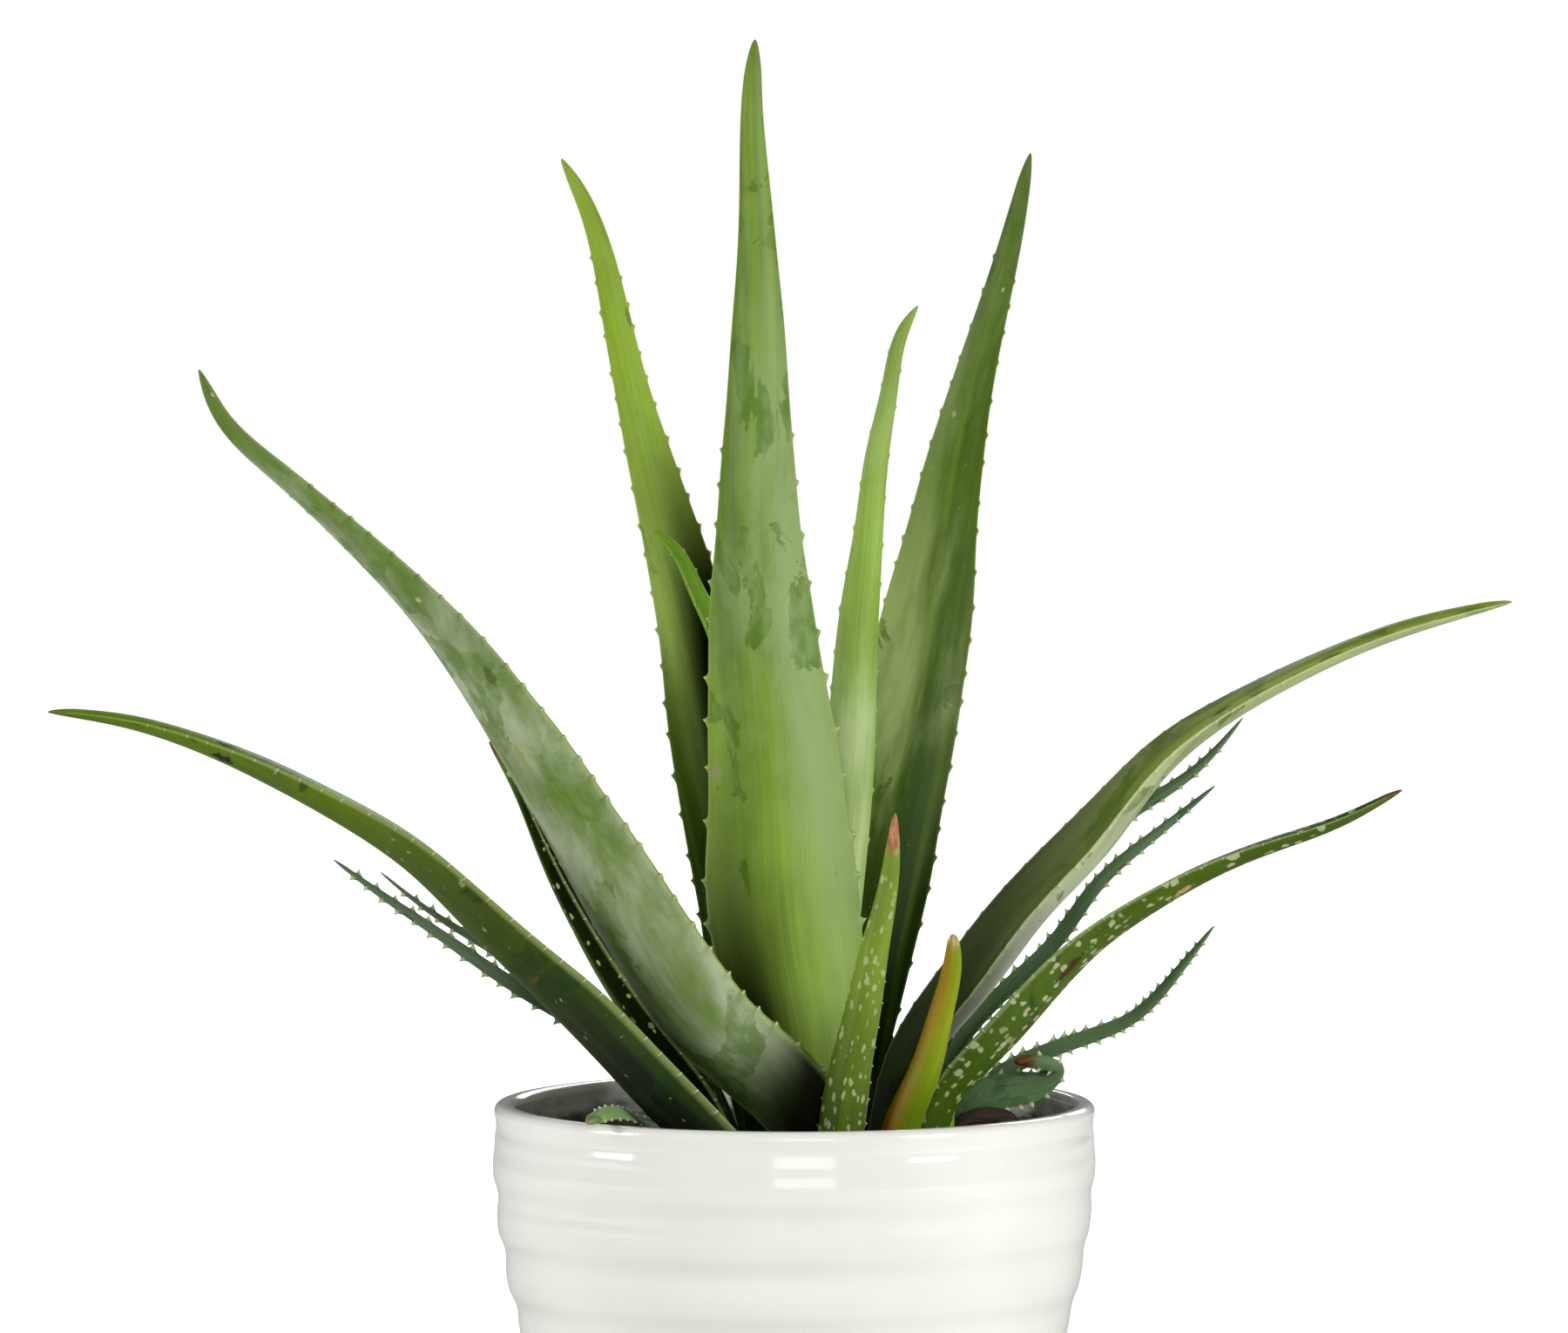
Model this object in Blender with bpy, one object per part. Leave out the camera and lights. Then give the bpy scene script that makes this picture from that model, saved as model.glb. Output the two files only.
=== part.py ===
"""Potted aloe: a ribbed, glazed planter, its soil, and the leaves of an aloe with its offsets.

Metres, +Z up. The origin is the centre of the pot's flat foot, and -Y is the front.
Leaf stations are in millimetres, measured from the centre of the pot's rim.
"""

import math

import bmesh
import bpy
import numpy as np
from mathutils import Vector

MM = 0.001
GAP = 0.0004
WELD = 1e-5

# Pot
POT_HEIGHT = 0.150
RIM_RADIUS = 0.100
FOOT_RADIUS = 0.060
WALL = 0.0068
WALL_GROWTH = 0.0015
FLOOR = 0.010
RIM_ROUND = 0.0028
RIM_GROOVE_DEPTH = 0.0016
RIM_GROOVE_AT = 0.0075
SHOULDER_DEPTH = 0.015
RIB_PITCH = 0.0187
FIRST_RIB = 0.0235
RIB_HEIGHT = 0.0010
RIB_SHARES = (0.0, 0.2, 0.45, 0.75)
BOWL_POWER = 1.85
FOOT_BEVEL = 0.002
INNER_DEPTHS = (0.128, 0.115, 0.095, 0.070, 0.045)
POT_SEGMENTS = 40

# Soil
SOIL_DEPTH = 0.022
SOIL_CROWN = 0.0025
SOIL_RINGS = (0.3, 0.6, 0.85, 1.0)
SOIL_SEGMENTS = 28
POCKET_CLEARANCE = 0.0007
POCKET_ABOVE_SOIL = 0.004

# Leaf section: how its shape changes from the base (0) to the tip (1)
TIP_THICKNESS = 0.7
TIP_UPPER_SHARE = 0.45
BASE_UPPER_SHARE = 0.06
EDGE_ROUNDNESS = 0.62
TIP_CAP = 0.035

# Rings along a leaf, and points across each of its two sides
LONG_LEAF_MESH = (18, 7)
SHORT_LEAF_MESH = (12, 5)
SHORT_LEAF_STATIONS = 7
TOOTHED_LEAF_MESH = (14, 4)
FIBRE_MESH = (9, 5)

COLOURS = {
    "white_glaze": ((0.86, 0.85, 0.83), 0.18),
    "soil_dark": ((0.055, 0.035, 0.022), 0.95),
    "leaf_green": ((0.23, 0.36, 0.13), 0.45),
    "leaf_spotted": ((0.16, 0.28, 0.07), 0.42),
    "leaf_young": ((0.30, 0.46, 0.14), 0.42),
    "leaf_blue_green": ((0.09, 0.21, 0.13), 0.48),
    "dry_fibre": ((0.20, 0.12, 0.07), 0.9),
    "stem_pale": ((0.42, 0.45, 0.22), 0.6),
}

# Each leaf: stations (x, y, z, width) in mm from the soil to the tip, thickness and channel depth
# as shares of the width, and the direction that its upper side faces at the base and at the tip.
BIG_LEAVES = {
    "centre_leaf": dict(
        stations=[
            (7, -14, -27, 26), (4, -19, 20, 42), (-3, -24, 60, 50), (-6, -27, 104, 46),
            (-10, -28, 150, 37), (-12, -28, 200, 27), (-12, -26, 254, 18), (-13, -24, 303, 10.5),
            (-14, -23, 334, 7), (-13, -22, 354, 4),
        ],
        thick=0.26, channel=0.10, faces=[(0, 1, 0.1), (0, 1, 0.1)], colour="leaf_green",
    ),
    "broad_left_leaf": dict(
        stations=[
            (14, -36, -27, 24), (-3, -40, 2, 35), (-28, -46, 26, 37), (-50, -54, 57, 35),
            (-71, -62, 93, 31), (-92, -71, 128, 25), (-114, -80, 160, 18), (-141, -92, 190, 12),
            (-170, -105, 217, 8), (-186, -111, 234, 6), (-193, -115, 250, 3),
        ],
        thick=0.34, channel=0.12, faces=[(0.5, 0.7, 0.5), (0.3, 0.8, 0.5)], colour="leaf_green",
    ),
    "low_left_leaf": dict(
        stations=[
            (-8, -48, -27, 21), (-36, -57, 1, 28), (-66, -61, 33, 29), (-85, -64, 51, 26),
            (-104, -66, 69, 23), (-124, -68, 87, 20), (-147, -70, 102, 16.5), (-170, -72, 114, 13.5),
            (-193, -75, 124, 10), (-218, -77, 132, 7), (-244, -80, 136, 3),
        ],
        thick=0.52, channel=0.12, faces=[(0.6, 0.09, 0.8), (0.2, 0.01, 0.95)], colour="leaf_spotted",
    ),
    "hidden_left_leaf": dict(
        stations=[
            (-17, -8, -27, 14), (-32, -13, 6, 21), (-48, -17, 27, 22), (-61, -19, 45, 20),
            (-72, -21, 64, 16), (-82, -22, 84, 12), (-92, -23, 106, 7), (-101, -24, 122, 3),
        ],
        thick=0.40, channel=0.12, faces=[(0.8, -0.1, 0.6), (0.8, -0.1, 0.6)], colour="leaf_spotted",
    ),
    "upright_left_leaf": dict(
        stations=[
            (-5, 24, -27, 24), (-10, 26, 15, 35), (-17, 29, 68, 39), (-27, 32, 112, 33),
            (-35, 35, 155, 26), (-45, 39, 196, 19), (-52, 42, 222, 14), (-60, 44, 258, 10),
            (-70, 47, 296, 6), (-78, 48, 312, 3),
        ],
        thick=0.26, channel=0.16, faces=[(0.35, -1, 0.1), (0.35, -1, 0.1)], colour="leaf_green",
    ),
    "small_left_leaf": dict(
        stations=[
            (-5, 4, -27, 10), (-8, 4, 30, 15), (-12, 4, 62, 16), (-17, 4, 106, 14),
            (-21, 5, 135, 12), (-27, 5, 157, 10), (-33, 6, 169, 8), (-40, 6, 183, 6), (-47, 7, 190, 2.5),
        ],
        thick=0.34, channel=0.12, faces=[(1, -0.5, 0.3), (0.7, -0.6, 0.6)], colour="leaf_young",
    ),
    "young_right_leaf": dict(
        stations=[
            (15, -2, -27, 12), (13, -4, 30, 18), (14, -4, 55, 19), (19, -4, 105, 18), (20.5, -4, 130, 16.5),
            (22.5, -3, 163, 14), (25.5, -2, 192, 10.5), (28, -1, 215, 8.5), (32, 0, 238, 6),
            (36, 1, 256, 4.4), (41, 2, 265, 2.5),
        ],
        thick=0.34, channel=0.10, faces=[(-0.4, 1, 0.1), (-0.4, 1, 0.1)], colour="leaf_young",
    ),
    "upright_right_leaf": dict(
        stations=[
            (12, 12, -27, 22), (19, 15, 26, 36), (24, 18, 53, 40), (35, 24, 106, 39), (46.5, 31, 161, 31),
            (52, 35, 196, 23), (57, 38, 222, 18), (63, 40, 247, 13), (74, 44, 290, 7),
            (79, 46, 314, 3),
        ],
        thick=0.26, channel=0.16, faces=[(-0.35, -1, 0.1), (-0.35, -1, 0.1)], colour="leaf_green",
    ),
    "broad_right_leaf": dict(
        stations=[
            (29, -16, -27, 17), (41, -17, 17, 27), (58, -18, 40, 35), (78, -21, 66, 35),
            (100, -24, 90, 32), (121, -28, 115, 24), (146, -32, 134, 17), (174, -37, 149, 12.5),
            (204, -42, 161, 9), (236, -48, 170, 3),
        ],
        thick=0.20, channel=0.14, faces=[(-0.5, -0.36, 0.8), (-0.2, -0.22, 1)], colour="leaf_green",
    ),
    "spotted_right_leaf": dict(
        stations=[
            (44, -38, -27, 13), (51, -42, 6, 17), (66, -46, 24, 20), (82, -50, 42, 20), (98, -54, 58, 17),
            (116, -58, 71, 14.5), (136, -62, 82, 11.5), (158, -66, 91, 9), (179, -70, 99, 6.5),
            (199, -74, 110, 2.5),
        ],
        thick=0.43, channel=0.12, faces=[(-0.5, 0.15, 0.8), (-0.2, 0.1, 1)], colour="leaf_spotted",
    ),
    "spotted_front_leaf": dict(
        stations=[
            (11, -53, -27, 12), (15, -57, -4, 15), (18, -59, 16, 14), (22, -62, 35, 12.2),
            (26, -64, 56, 9.6), (30, -66, 74, 7), (32, -67, 88, 5), (33, -68, 102, 1.6),
        ],
        thick=0.5, channel=0.05, faces=[(0.1, 1, 0.1), (0.1, 1, 0.1)], colour="leaf_spotted",
    ),
    "short_front_leaf": dict(
        stations=[
            (31, -52, -27, 11), (35, -55, -3, 12), (42, -58, 14, 10.8), (48, -61, 35, 8.2),
            (51, -63, 47, 6.8), (52, -65, 55, 5.4), (52, -66, 62, 3.2),
        ],
        thick=0.5, channel=0.04, faces=[(0.1, 1, 0.1), (0.1, 1, 0.1)], colour="leaf_young",
    ),
    "leaf_sprout": dict(
        stations=[(50, -28, -27, 4), (50, -28, -14, 5), (51, -29, -5, 4.2), (52, -29, 2, 2)],
        thick=0.5, channel=0.04, faces=[(-0.2, 1, 0.1), (-0.2, 1, 0.1)], colour="leaf_young",
    ),
    "low_right_leaf": dict(
        stations=[(42, -54, -25, 6), (56, -58, -8, 8), (66, -57, -4, 7), (77, -50, -3, 3)],
        thick=0.45, channel=0.04, faces=[(0, -0.1, 1), (0, -0.1, 1)], colour="leaf_spotted",
    ),
}

TOOTHED_LEAVES = {
    "toothed_left_long_leaf": dict(
        stations=[
            (-34, 8, -26, 7), (-48, 4, 8, 7.4), (-64, 0, 21, 7.4), (-92, -4, 38, 6.8), (-119, -8, 57, 5.2),
            (-136, -10, 69, 3.8), (-153, -12, 82, 1.3),
        ],
        thick=0.4, channel=0.14, faces=[(0.4, -0.9, 0.5), (0.4, -0.9, 0.5)],
    ),
    "toothed_left_short_leaf": dict(
        stations=[
            (-32, 22, -26, 6), (-50, 17, 12, 6.6), (-70, 14, 30, 6), (-87, 12, 41, 5.2), (-108, 10, 54, 4),
            (-122, 9, 63, 2.8), (-138, 8, 76, 1.1),
        ],
        thick=0.4, channel=0.14, faces=[(0.4, -0.9, 0.5), (0.4, -0.9, 0.5)],
    ),
    "toothed_stub_leaf": dict(
        stations=[
            (-33, -13, -26, 8), (-40, -28, -8, 9), (-49, -44, -3.5, 9), (-55, -60, 1, 8.6),
            (-61.5, -74, 3, 7.4), (-68, -86, 1.8, 4.8),
        ],
        thick=0.24, channel=0.10, faces=[(0.2, -0.5, 0.85), (0.2, -0.8, 0.6)],
    ),
    "toothed_right_top_leaf": dict(
        stations=[
            (46, 34, -26, 7), (58, 34, 36, 8), (78, 34, 62, 8), (100, 33, 84, 7.4), (120, 32, 98, 6.2),
            (134, 31, 108, 4.6), (150, 30, 126, 1.3),
        ],
        thick=0.4, channel=0.14, faces=[(-0.5, -0.9, 0.5), (-0.5, -0.9, 0.5)],
    ),
    "toothed_right_long_leaf": dict(
        stations=[
            (44, 12, -26, 7), (52, 12, 12, 8.8), (70, 11, 35, 9.6), (88, 10, 53, 9), (101, 9, 71, 8),
            (120, 8, 88, 5.8), (140, 7, 105, 1.6),
        ],
        thick=0.4, channel=0.14, faces=[(-0.5, -0.9, 0.5), (-0.5, -0.9, 0.5)],
    ),
    "toothed_right_low_leaf": dict(
        stations=[
            (54, 18, -26, 6), (64, 17, 3, 7.6), (82, 15, 14, 7.6), (101, 13, 21, 7), (112, 12, 26, 6.2),
            (127, 11, 41, 4.8), (140, 10, 58, 1.3),
        ],
        thick=0.4, channel=0.14, faces=[(-0.3, -0.9, 0.5), (-0.6, -0.9, 0.4)],
    ),
    "toothed_right_folded_leaf": dict(
        stations=[
            (52, 0, -26, 8), (60, -2, 0, 11), (74, -3, 4, 12), (84, -4, 7, 8), (87.5, -5, 11, 5),
            (82, -6, 13.8, 4.8), (73, -7, 14, 2),
        ],
        thick=0.3, channel=0.08, faces=[(-0.2, -0.8, 0.6), (-0.2, -0.8, 0.1)],
    ),
}

# The clump of old leaf bases that lies on the soil
FIBRE_CLUMP = dict(
    stations=[(48, -14, -25, 10), (56, -15, -9, 14), (66, -15, -6, 13), (76, -14, -10, 8)],
    thick=0.7, channel=0.0, faces=[(0, 0, 1), (0, 0, 1)],
)

# The hidden stem, in metres from the rim's centre
STEM_X = 0.005
STEM_Y = 0.004
STEM_RADIUS = 0.006
STEM_TAPER = 1.1
STEM_TOP = -0.008
STEM_FOOT = -SOIL_DEPTH - 0.02
STEM_SIDES = 12


def spline(stations, count):
    """Points on a natural cubic spline through the stations, and its unit tangents."""
    knots = np.array(stations, float)
    steps = np.linalg.norm(np.diff(knots[:, :3], axis=0), axis=1)
    places = np.concatenate([[0], np.cumsum(steps)])
    number = len(knots)
    system = np.eye(number)
    right = np.zeros_like(knots)
    for i in range(1, number - 1):
        system[i, i - 1 : i + 2] = steps[i - 1], 2 * (steps[i - 1] + steps[i]), steps[i]
        slope_after = (knots[i + 1] - knots[i]) / steps[i]
        slope_before = (knots[i] - knots[i - 1]) / steps[i - 1]
        right[i] = 6 * (slope_after - slope_before)
    bends = np.linalg.solve(system, right)
    found = []
    tangents = []
    for place in np.linspace(0, places[-1], count):
        i = min(int(np.searchsorted(places, place, side="right")) - 1, number - 2)
        before = place - places[i]
        after = places[i + 1] - place
        step = steps[i]
        from_start = knots[i] / step - bends[i] * step / 6
        from_end = knots[i + 1] / step - bends[i + 1] * step / 6
        found.append(
            (bends[i] * after**3 + bends[i + 1] * before**3) / (6 * step)
            + from_start * after
            + from_end * before
        )
        tangent = (bends[i + 1] * before**2 - bends[i] * after**2) / (2 * step) - from_start + from_end
        tangents.append(tangent[:3] / np.linalg.norm(tangent[:3]))
    return np.array(found), np.array(tangents)


def section(half_width, thickness, channel, upper_share, columns):
    """One leaf section as (across, up) pairs: upper side left to right, then lower side back."""
    across = np.sin(np.linspace(-math.pi / 2, math.pi / 2, columns))
    belly = np.clip(1 - across**2, 0, None)
    margin_rise = channel * across**2
    upper = margin_rise + thickness * upper_share * belly
    lower = margin_rise - thickness * (1 - upper_share) * belly**EDGE_ROUNDNESS
    # The section is centred on its station, between the margins' height and the keel's
    middle = (channel - thickness * (1 - upper_share)) / 2
    top = np.column_stack([across * half_width, upper - middle])
    under = np.column_stack([across * half_width, lower - middle])
    return np.concatenate([top, under[-2:0:-1]])


def leaf_rings(leaf, rings, columns, grow=0.0):
    """Rings of points for a leaf, in metres from the rim's centre. grow thickens it all round."""
    found, tangents = spline(leaf["stations"], rings)
    faces = np.array(leaf["faces"], float)
    made = []
    for i, (point, tangent) in enumerate(zip(found, tangents)):
        along = i / (rings - 1)
        cap = 1.0
        if along > 1 - TIP_CAP:
            cap = math.sqrt(max(0.0, 1 - ((along - 1 + TIP_CAP) / TIP_CAP) ** 2))
        width = point[3] * MM * cap + 2 * grow
        thickness = width * (leaf["thick"] + (TIP_THICKNESS - leaf["thick"]) * along**3) + grow
        channel = width * leaf["channel"] * (1 - along**2)
        upper_share = BASE_UPPER_SHARE + (TIP_UPPER_SHARE - BASE_UPPER_SHARE) * along**2
        facing = faces[0] * (1 - along) + faces[1] * along
        up = facing - tangent * facing.dot(tangent)
        up /= np.linalg.norm(up)
        side = np.cross(up, tangent)
        outline = section(width / 2, thickness, channel, upper_share, columns)
        centre = point[:3] * MM
        made.append(centre + outline[:, :1] * side + outline[:, 1:] * up)
    return made


def material(name):
    """The named colour's material, made once."""
    made = bpy.data.materials.get(name)
    if made:
        return made
    colour, roughness = COLOURS[name]
    made = bpy.data.materials.new(name)
    made.use_nodes = True
    shader = made.node_tree.nodes["Principled BSDF"]
    shader.inputs["Base Color"].default_value = (*colour, 1)
    shader.inputs["Roughness"].default_value = roughness
    shader.inputs["Metallic"].default_value = 0.0
    return made


def new_object(name, vertices, faces, colour, collection=None):
    """A smooth-shaded mesh object with faces out and coincident points merged."""
    mesh = bpy.data.meshes.new(name)
    mesh.from_pydata([tuple(v) for v in vertices], [], faces)
    shape = bmesh.new()
    shape.from_mesh(mesh)
    bmesh.ops.remove_doubles(shape, verts=shape.verts, dist=WELD / 10)
    bmesh.ops.recalc_face_normals(shape, faces=shape.faces)
    shape.to_mesh(mesh)
    shape.free()
    mesh.shade_smooth()
    mesh.materials.append(material(colour))
    made = bpy.data.objects.new(name, mesh)
    (collection or bpy.context.scene.collection).objects.link(made)
    return made


def add_loft(name, rings, columns, colour, rim, pointed=True, collection=None):
    """Joins rings into one closed body: a flat cap at the base, and a point or a cap at the tip."""
    size = 2 * columns - 2
    if pointed:
        tip = rings[-1].mean(axis=0)
        rings = rings[:-1]
    vertices = [p for ring in rings for p in ring]
    faces = []
    for r in range(len(rings) - 1):
        for i in range(size):
            j = (i + 1) % size
            low = r * size
            high = low + size
            faces.append((low + i, low + j, high + j, high + i))
    faces += cap_faces(0, columns)
    last = (len(rings) - 1) * size
    if pointed:
        vertices.append(tip)
        faces += [(last + i, last + (i + 1) % size, len(vertices) - 1) for i in range(size)]
    else:
        faces += cap_faces(last, columns)
    made = new_object(name, vertices, faces, colour, collection)
    made.parent = rim
    return made


def cap_faces(start, columns):
    """Quads across a ring, from each upper point to the lower point under it."""
    size = 2 * columns - 2
    upper = [start + i for i in range(columns)]
    lower = [start + (size - i) % size for i in range(columns)]
    lower[-1] = upper[-1]
    faces = []
    for i in range(columns - 1):
        corners = [upper[i], upper[i + 1], lower[i + 1], lower[i]]
        faces.append(tuple(dict.fromkeys(corners)))
    return faces


def add_turned(name, profile, segments, colour):
    """A solid of revolution. The profile's (radius, height) points run down the outer side and back."""
    mesh = bpy.data.meshes.new(name)
    points = [(radius, 0, height) for radius, height in profile]
    mesh.from_pydata(points, [(i, i + 1) for i in range(len(points) - 1)], [])
    mesh.materials.append(material(colour))
    made = bpy.data.objects.new(name, mesh)
    bpy.context.scene.collection.objects.link(made)
    turn = made.modifiers.new("turn", "SCREW")
    turn.axis = "Z"
    turn.angle = 2 * math.pi
    turn.steps = segments
    turn.render_steps = segments
    turn.use_merge_vertices = True
    turn.merge_threshold = WELD
    turn.use_smooth_shade = True
    return made


def bowl_radius(depth):
    """Outer radius of the pot without its ribs, at a depth below the rim."""
    if depth < SHOULDER_DEPTH:
        return RIM_RADIUS
    share = (depth - SHOULDER_DEPTH) / (POT_HEIGHT - SHOULDER_DEPTH)
    return RIM_RADIUS - (RIM_RADIUS - FOOT_RADIUS) * share**BOWL_POWER


def rib(depth):
    """How far the surface stands out: each rib swells slowly downwards, then turns in sharply."""
    turns = (depth - FIRST_RIB) / RIB_PITCH
    phase = turns - math.floor(turns)
    swell = 0.5 + 0.5 * math.cos(2 * math.pi * (1 - (1 - phase) ** 1.6))
    return RIB_HEIGHT * (swell - 0.5)


def outer_profile():
    """Points down the pot's outer side, from the groove under the rim to the foot."""
    points = [(RIM_RADIUS - RIM_GROOVE_DEPTH, POT_HEIGHT - RIM_GROOVE_AT)]
    places = [RIM_GROOVE_AT + 0.005, RIM_GROOVE_AT + 0.010]
    ribs = int((POT_HEIGHT - FIRST_RIB) / RIB_PITCH)
    for i in range(ribs + 1):
        places += [FIRST_RIB + (i + share) * RIB_PITCH for share in RIB_SHARES]
    for depth in places:
        if depth < POT_HEIGHT - 2 * FOOT_BEVEL:
            points.append((bowl_radius(depth) + rib(depth), POT_HEIGHT - depth))
    return points + [(FOOT_RADIUS, FOOT_BEVEL), (FOOT_RADIUS - FOOT_BEVEL, 0)]


def arc(radius, height, round_radius, angles):
    """(radius, height) points on a small circle of the profile."""
    turns = [math.radians(angle) for angle in angles]
    return [(radius + round_radius * math.cos(t), height + round_radius * math.sin(t)) for t in turns]


def inner_radius(depth):
    """Inner radius of the pot's wall, which thickens downwards."""
    return bowl_radius(depth) - WALL - WALL_GROWTH * depth / POT_HEIGHT


def add_pot():
    """One closed profile: over the rim, down the outer side, across the foot, and up the inside."""
    height = POT_HEIGHT - RIM_ROUND
    rim = arc(RIM_RADIUS - RIM_ROUND, height, RIM_ROUND, (100, 60, 25, -10, -50))
    inner_rim = arc(RIM_RADIUS - WALL + RIM_ROUND - GAP, height, RIM_ROUND, (175, 130, 95))
    inside = [(0, FLOOR), (FOOT_RADIUS - 0.022, FLOOR), (FOOT_RADIUS - 0.011, FLOOR + 0.003)]
    for depth in (*INNER_DEPTHS, SOIL_DEPTH, 0.009):
        inside.append((inner_radius(depth), POT_HEIGHT - depth))
    profile = rim + outer_profile() + [(0, 0)] + inside + inner_rim + rim[:1]
    return add_turned("pot", profile, POT_SEGMENTS, "white_glaze")


def soil_height(radius):
    """The soil's top: slightly domed, lower by the wall."""
    share = radius / inner_radius(SOIL_DEPTH)
    return POT_HEIGHT - SOIL_DEPTH - SOIL_CROWN * share**2


def add_soil():
    """Soil that fills the pot, a little inside its wall and floor all round."""
    edge = inner_radius(SOIL_DEPTH) - 2 * GAP
    profile = [(0, soil_height(0))]
    for share in SOIL_RINGS:
        profile.append((edge * share, soil_height(edge * share)))
    for depth in reversed(INNER_DEPTHS):
        profile.append((inner_radius(depth) - 3 * GAP, POT_HEIGHT - depth))
    profile += [
        (FOOT_RADIUS - 0.0125, FLOOR + 0.0045),
        (FOOT_RADIUS - 0.024, FLOOR + GAP),
        (0, FLOOR + GAP),
    ]
    return add_turned("potting_soil", profile, SOIL_SEGMENTS, "soil_dark")


def add_leaf(name, leaf, mesh_size, colour, rim, pockets):
    """A leaf, and the cutter that makes its pocket in the soil."""
    rings, columns = mesh_size
    add_loft(name, leaf_rings(leaf, rings, columns), columns, colour, rim)
    cutter = leaf_rings(leaf, rings, columns, POCKET_CLEARANCE)
    inwards = cutter[0].mean(axis=0) - cutter[1].mean(axis=0)
    keep = [cutter[0] + inwards / np.linalg.norm(inwards) * POCKET_CLEARANCE]
    for ring in cutter[1:]:
        keep.append(ring)
        if min(p[2] for p in ring) > -SOIL_DEPTH + POCKET_ABOVE_SOIL:
            break
    made = add_loft(name + "_pocket", keep, columns, colour, rim, pointed=False, collection=pockets)
    made.hide_render = True
    made.display_type = "WIRE"


def add_stem_body(name, grow, rim, collection):
    """A short tapered cylinder where the stem is, grown all round by a clearance."""
    foot = STEM_FOOT - grow
    top = STEM_TOP + grow
    radius = STEM_RADIUS + grow
    shape = bmesh.new()
    bmesh.ops.create_cone(
        shape, cap_ends=True, segments=STEM_SIDES, radius1=radius * STEM_TAPER, radius2=radius, depth=top - foot
    )
    mesh = bpy.data.meshes.new(name)
    shape.to_mesh(mesh)
    shape.free()
    mesh.materials.append(material("stem_pale"))
    made = bpy.data.objects.new(name, mesh)
    made.location = Vector((STEM_X, STEM_Y, (top + foot) / 2))
    made.parent = rim
    collection.objects.link(made)
    return made


def main():
    for item in list(bpy.data.objects):
        bpy.data.objects.remove(item)
    rim = bpy.data.objects.new("rim_centre", None)
    rim.location = (0, 0, POT_HEIGHT)
    bpy.context.scene.collection.objects.link(rim)
    pockets = bpy.data.collections.new("soil_pockets")
    bpy.context.scene.collection.children.link(pockets)

    add_pot()
    soil = add_soil()
    for name, leaf in BIG_LEAVES.items():
        short = len(leaf["stations"]) <= SHORT_LEAF_STATIONS
        mesh_size = SHORT_LEAF_MESH if short else LONG_LEAF_MESH
        add_leaf(name, leaf, mesh_size, leaf["colour"], rim, pockets)
    for name, leaf in TOOTHED_LEAVES.items():
        add_leaf(name, leaf, TOOTHED_LEAF_MESH, "leaf_blue_green", rim, pockets)
    add_leaf("fibre_clump", FIBRE_CLUMP, FIBRE_MESH, "dry_fibre", rim, pockets)
    add_stem_body("main_stem", 0.0, rim, bpy.context.scene.collection)
    stem_pocket = add_stem_body("main_stem_pocket", 2 * GAP, rim, pockets)
    stem_pocket.hide_render = True
    stem_pocket.display_type = "WIRE"

    cut = soil.modifiers.new("pockets", "BOOLEAN")
    cut.operation = "DIFFERENCE"
    cut.operand_type = "COLLECTION"
    cut.collection = pockets
    cut.solver = "EXACT"


main()
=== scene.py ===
"""Looks for the potted aloe: fine leaves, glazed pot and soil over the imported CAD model.

Metres, +Z up, origin at the centre of the pot's foot, -Y to the front. Leaf stations repeat the CAD
source's, in millimetres from the centre of the pot's rim.
"""

import math
import random

import bmesh
import bpy
import numpy as np
from mathutils import Matrix, Vector, noise

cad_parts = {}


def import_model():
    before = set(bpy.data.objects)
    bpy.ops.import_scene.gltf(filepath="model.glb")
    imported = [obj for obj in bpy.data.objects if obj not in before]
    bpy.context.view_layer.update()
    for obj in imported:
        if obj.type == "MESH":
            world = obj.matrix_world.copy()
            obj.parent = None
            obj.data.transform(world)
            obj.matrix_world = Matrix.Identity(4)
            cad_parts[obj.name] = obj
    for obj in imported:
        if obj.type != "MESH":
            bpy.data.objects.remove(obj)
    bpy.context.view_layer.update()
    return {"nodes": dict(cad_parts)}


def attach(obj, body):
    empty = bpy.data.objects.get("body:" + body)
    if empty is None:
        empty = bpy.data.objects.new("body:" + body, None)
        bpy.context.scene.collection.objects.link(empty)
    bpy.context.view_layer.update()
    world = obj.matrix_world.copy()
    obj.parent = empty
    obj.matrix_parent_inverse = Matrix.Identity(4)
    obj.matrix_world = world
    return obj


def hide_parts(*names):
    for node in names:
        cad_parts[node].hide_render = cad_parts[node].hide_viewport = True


MM = 0.001
GAP = 0.0004

# Pot, as in the CAD source but for a shallower groove below the rim
POT_HEIGHT = 0.150
RIM_RADIUS = 0.100
FOOT_RADIUS = 0.060
WALL = 0.0068
WALL_GROWTH = 0.0015
FLOOR = 0.010
RIM_ROUND = 0.0028
RIM_GROOVE_DEPTH = 0.0006
RIM_GROOVE_AT = 0.0075
SHOULDER_DEPTH = 0.015
RIB_PITCH = 0.0187
FIRST_RIB = 0.0235
RIB_HEIGHT = 0.0010
BOWL_POWER = 1.85
FOOT_BEVEL = 0.002
# How fine it is, and how uneven from being thrown by hand
POT_SEGMENTS = 288
PROFILE_TOP = 0.0044
PROFILE_STEP = 0.0009
RIM_GROOVE_WIDTH = 0.0034
THROWN_TILT = 0.0007
THROWN_WOBBLE = 0.00012

# Soil and the fibres on it
SOIL_DEPTH = 0.022
SOIL_CROWN = 0.0025
SOIL_RINGS = 110
SOIL_SPOKES = 300
SOIL_LOWER_DEPTHS = (0.045, 0.070, 0.095, 0.115, 0.128)
CRUMBS = 900
FIBRES = 150
FIBRE_STEPS = 12

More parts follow.
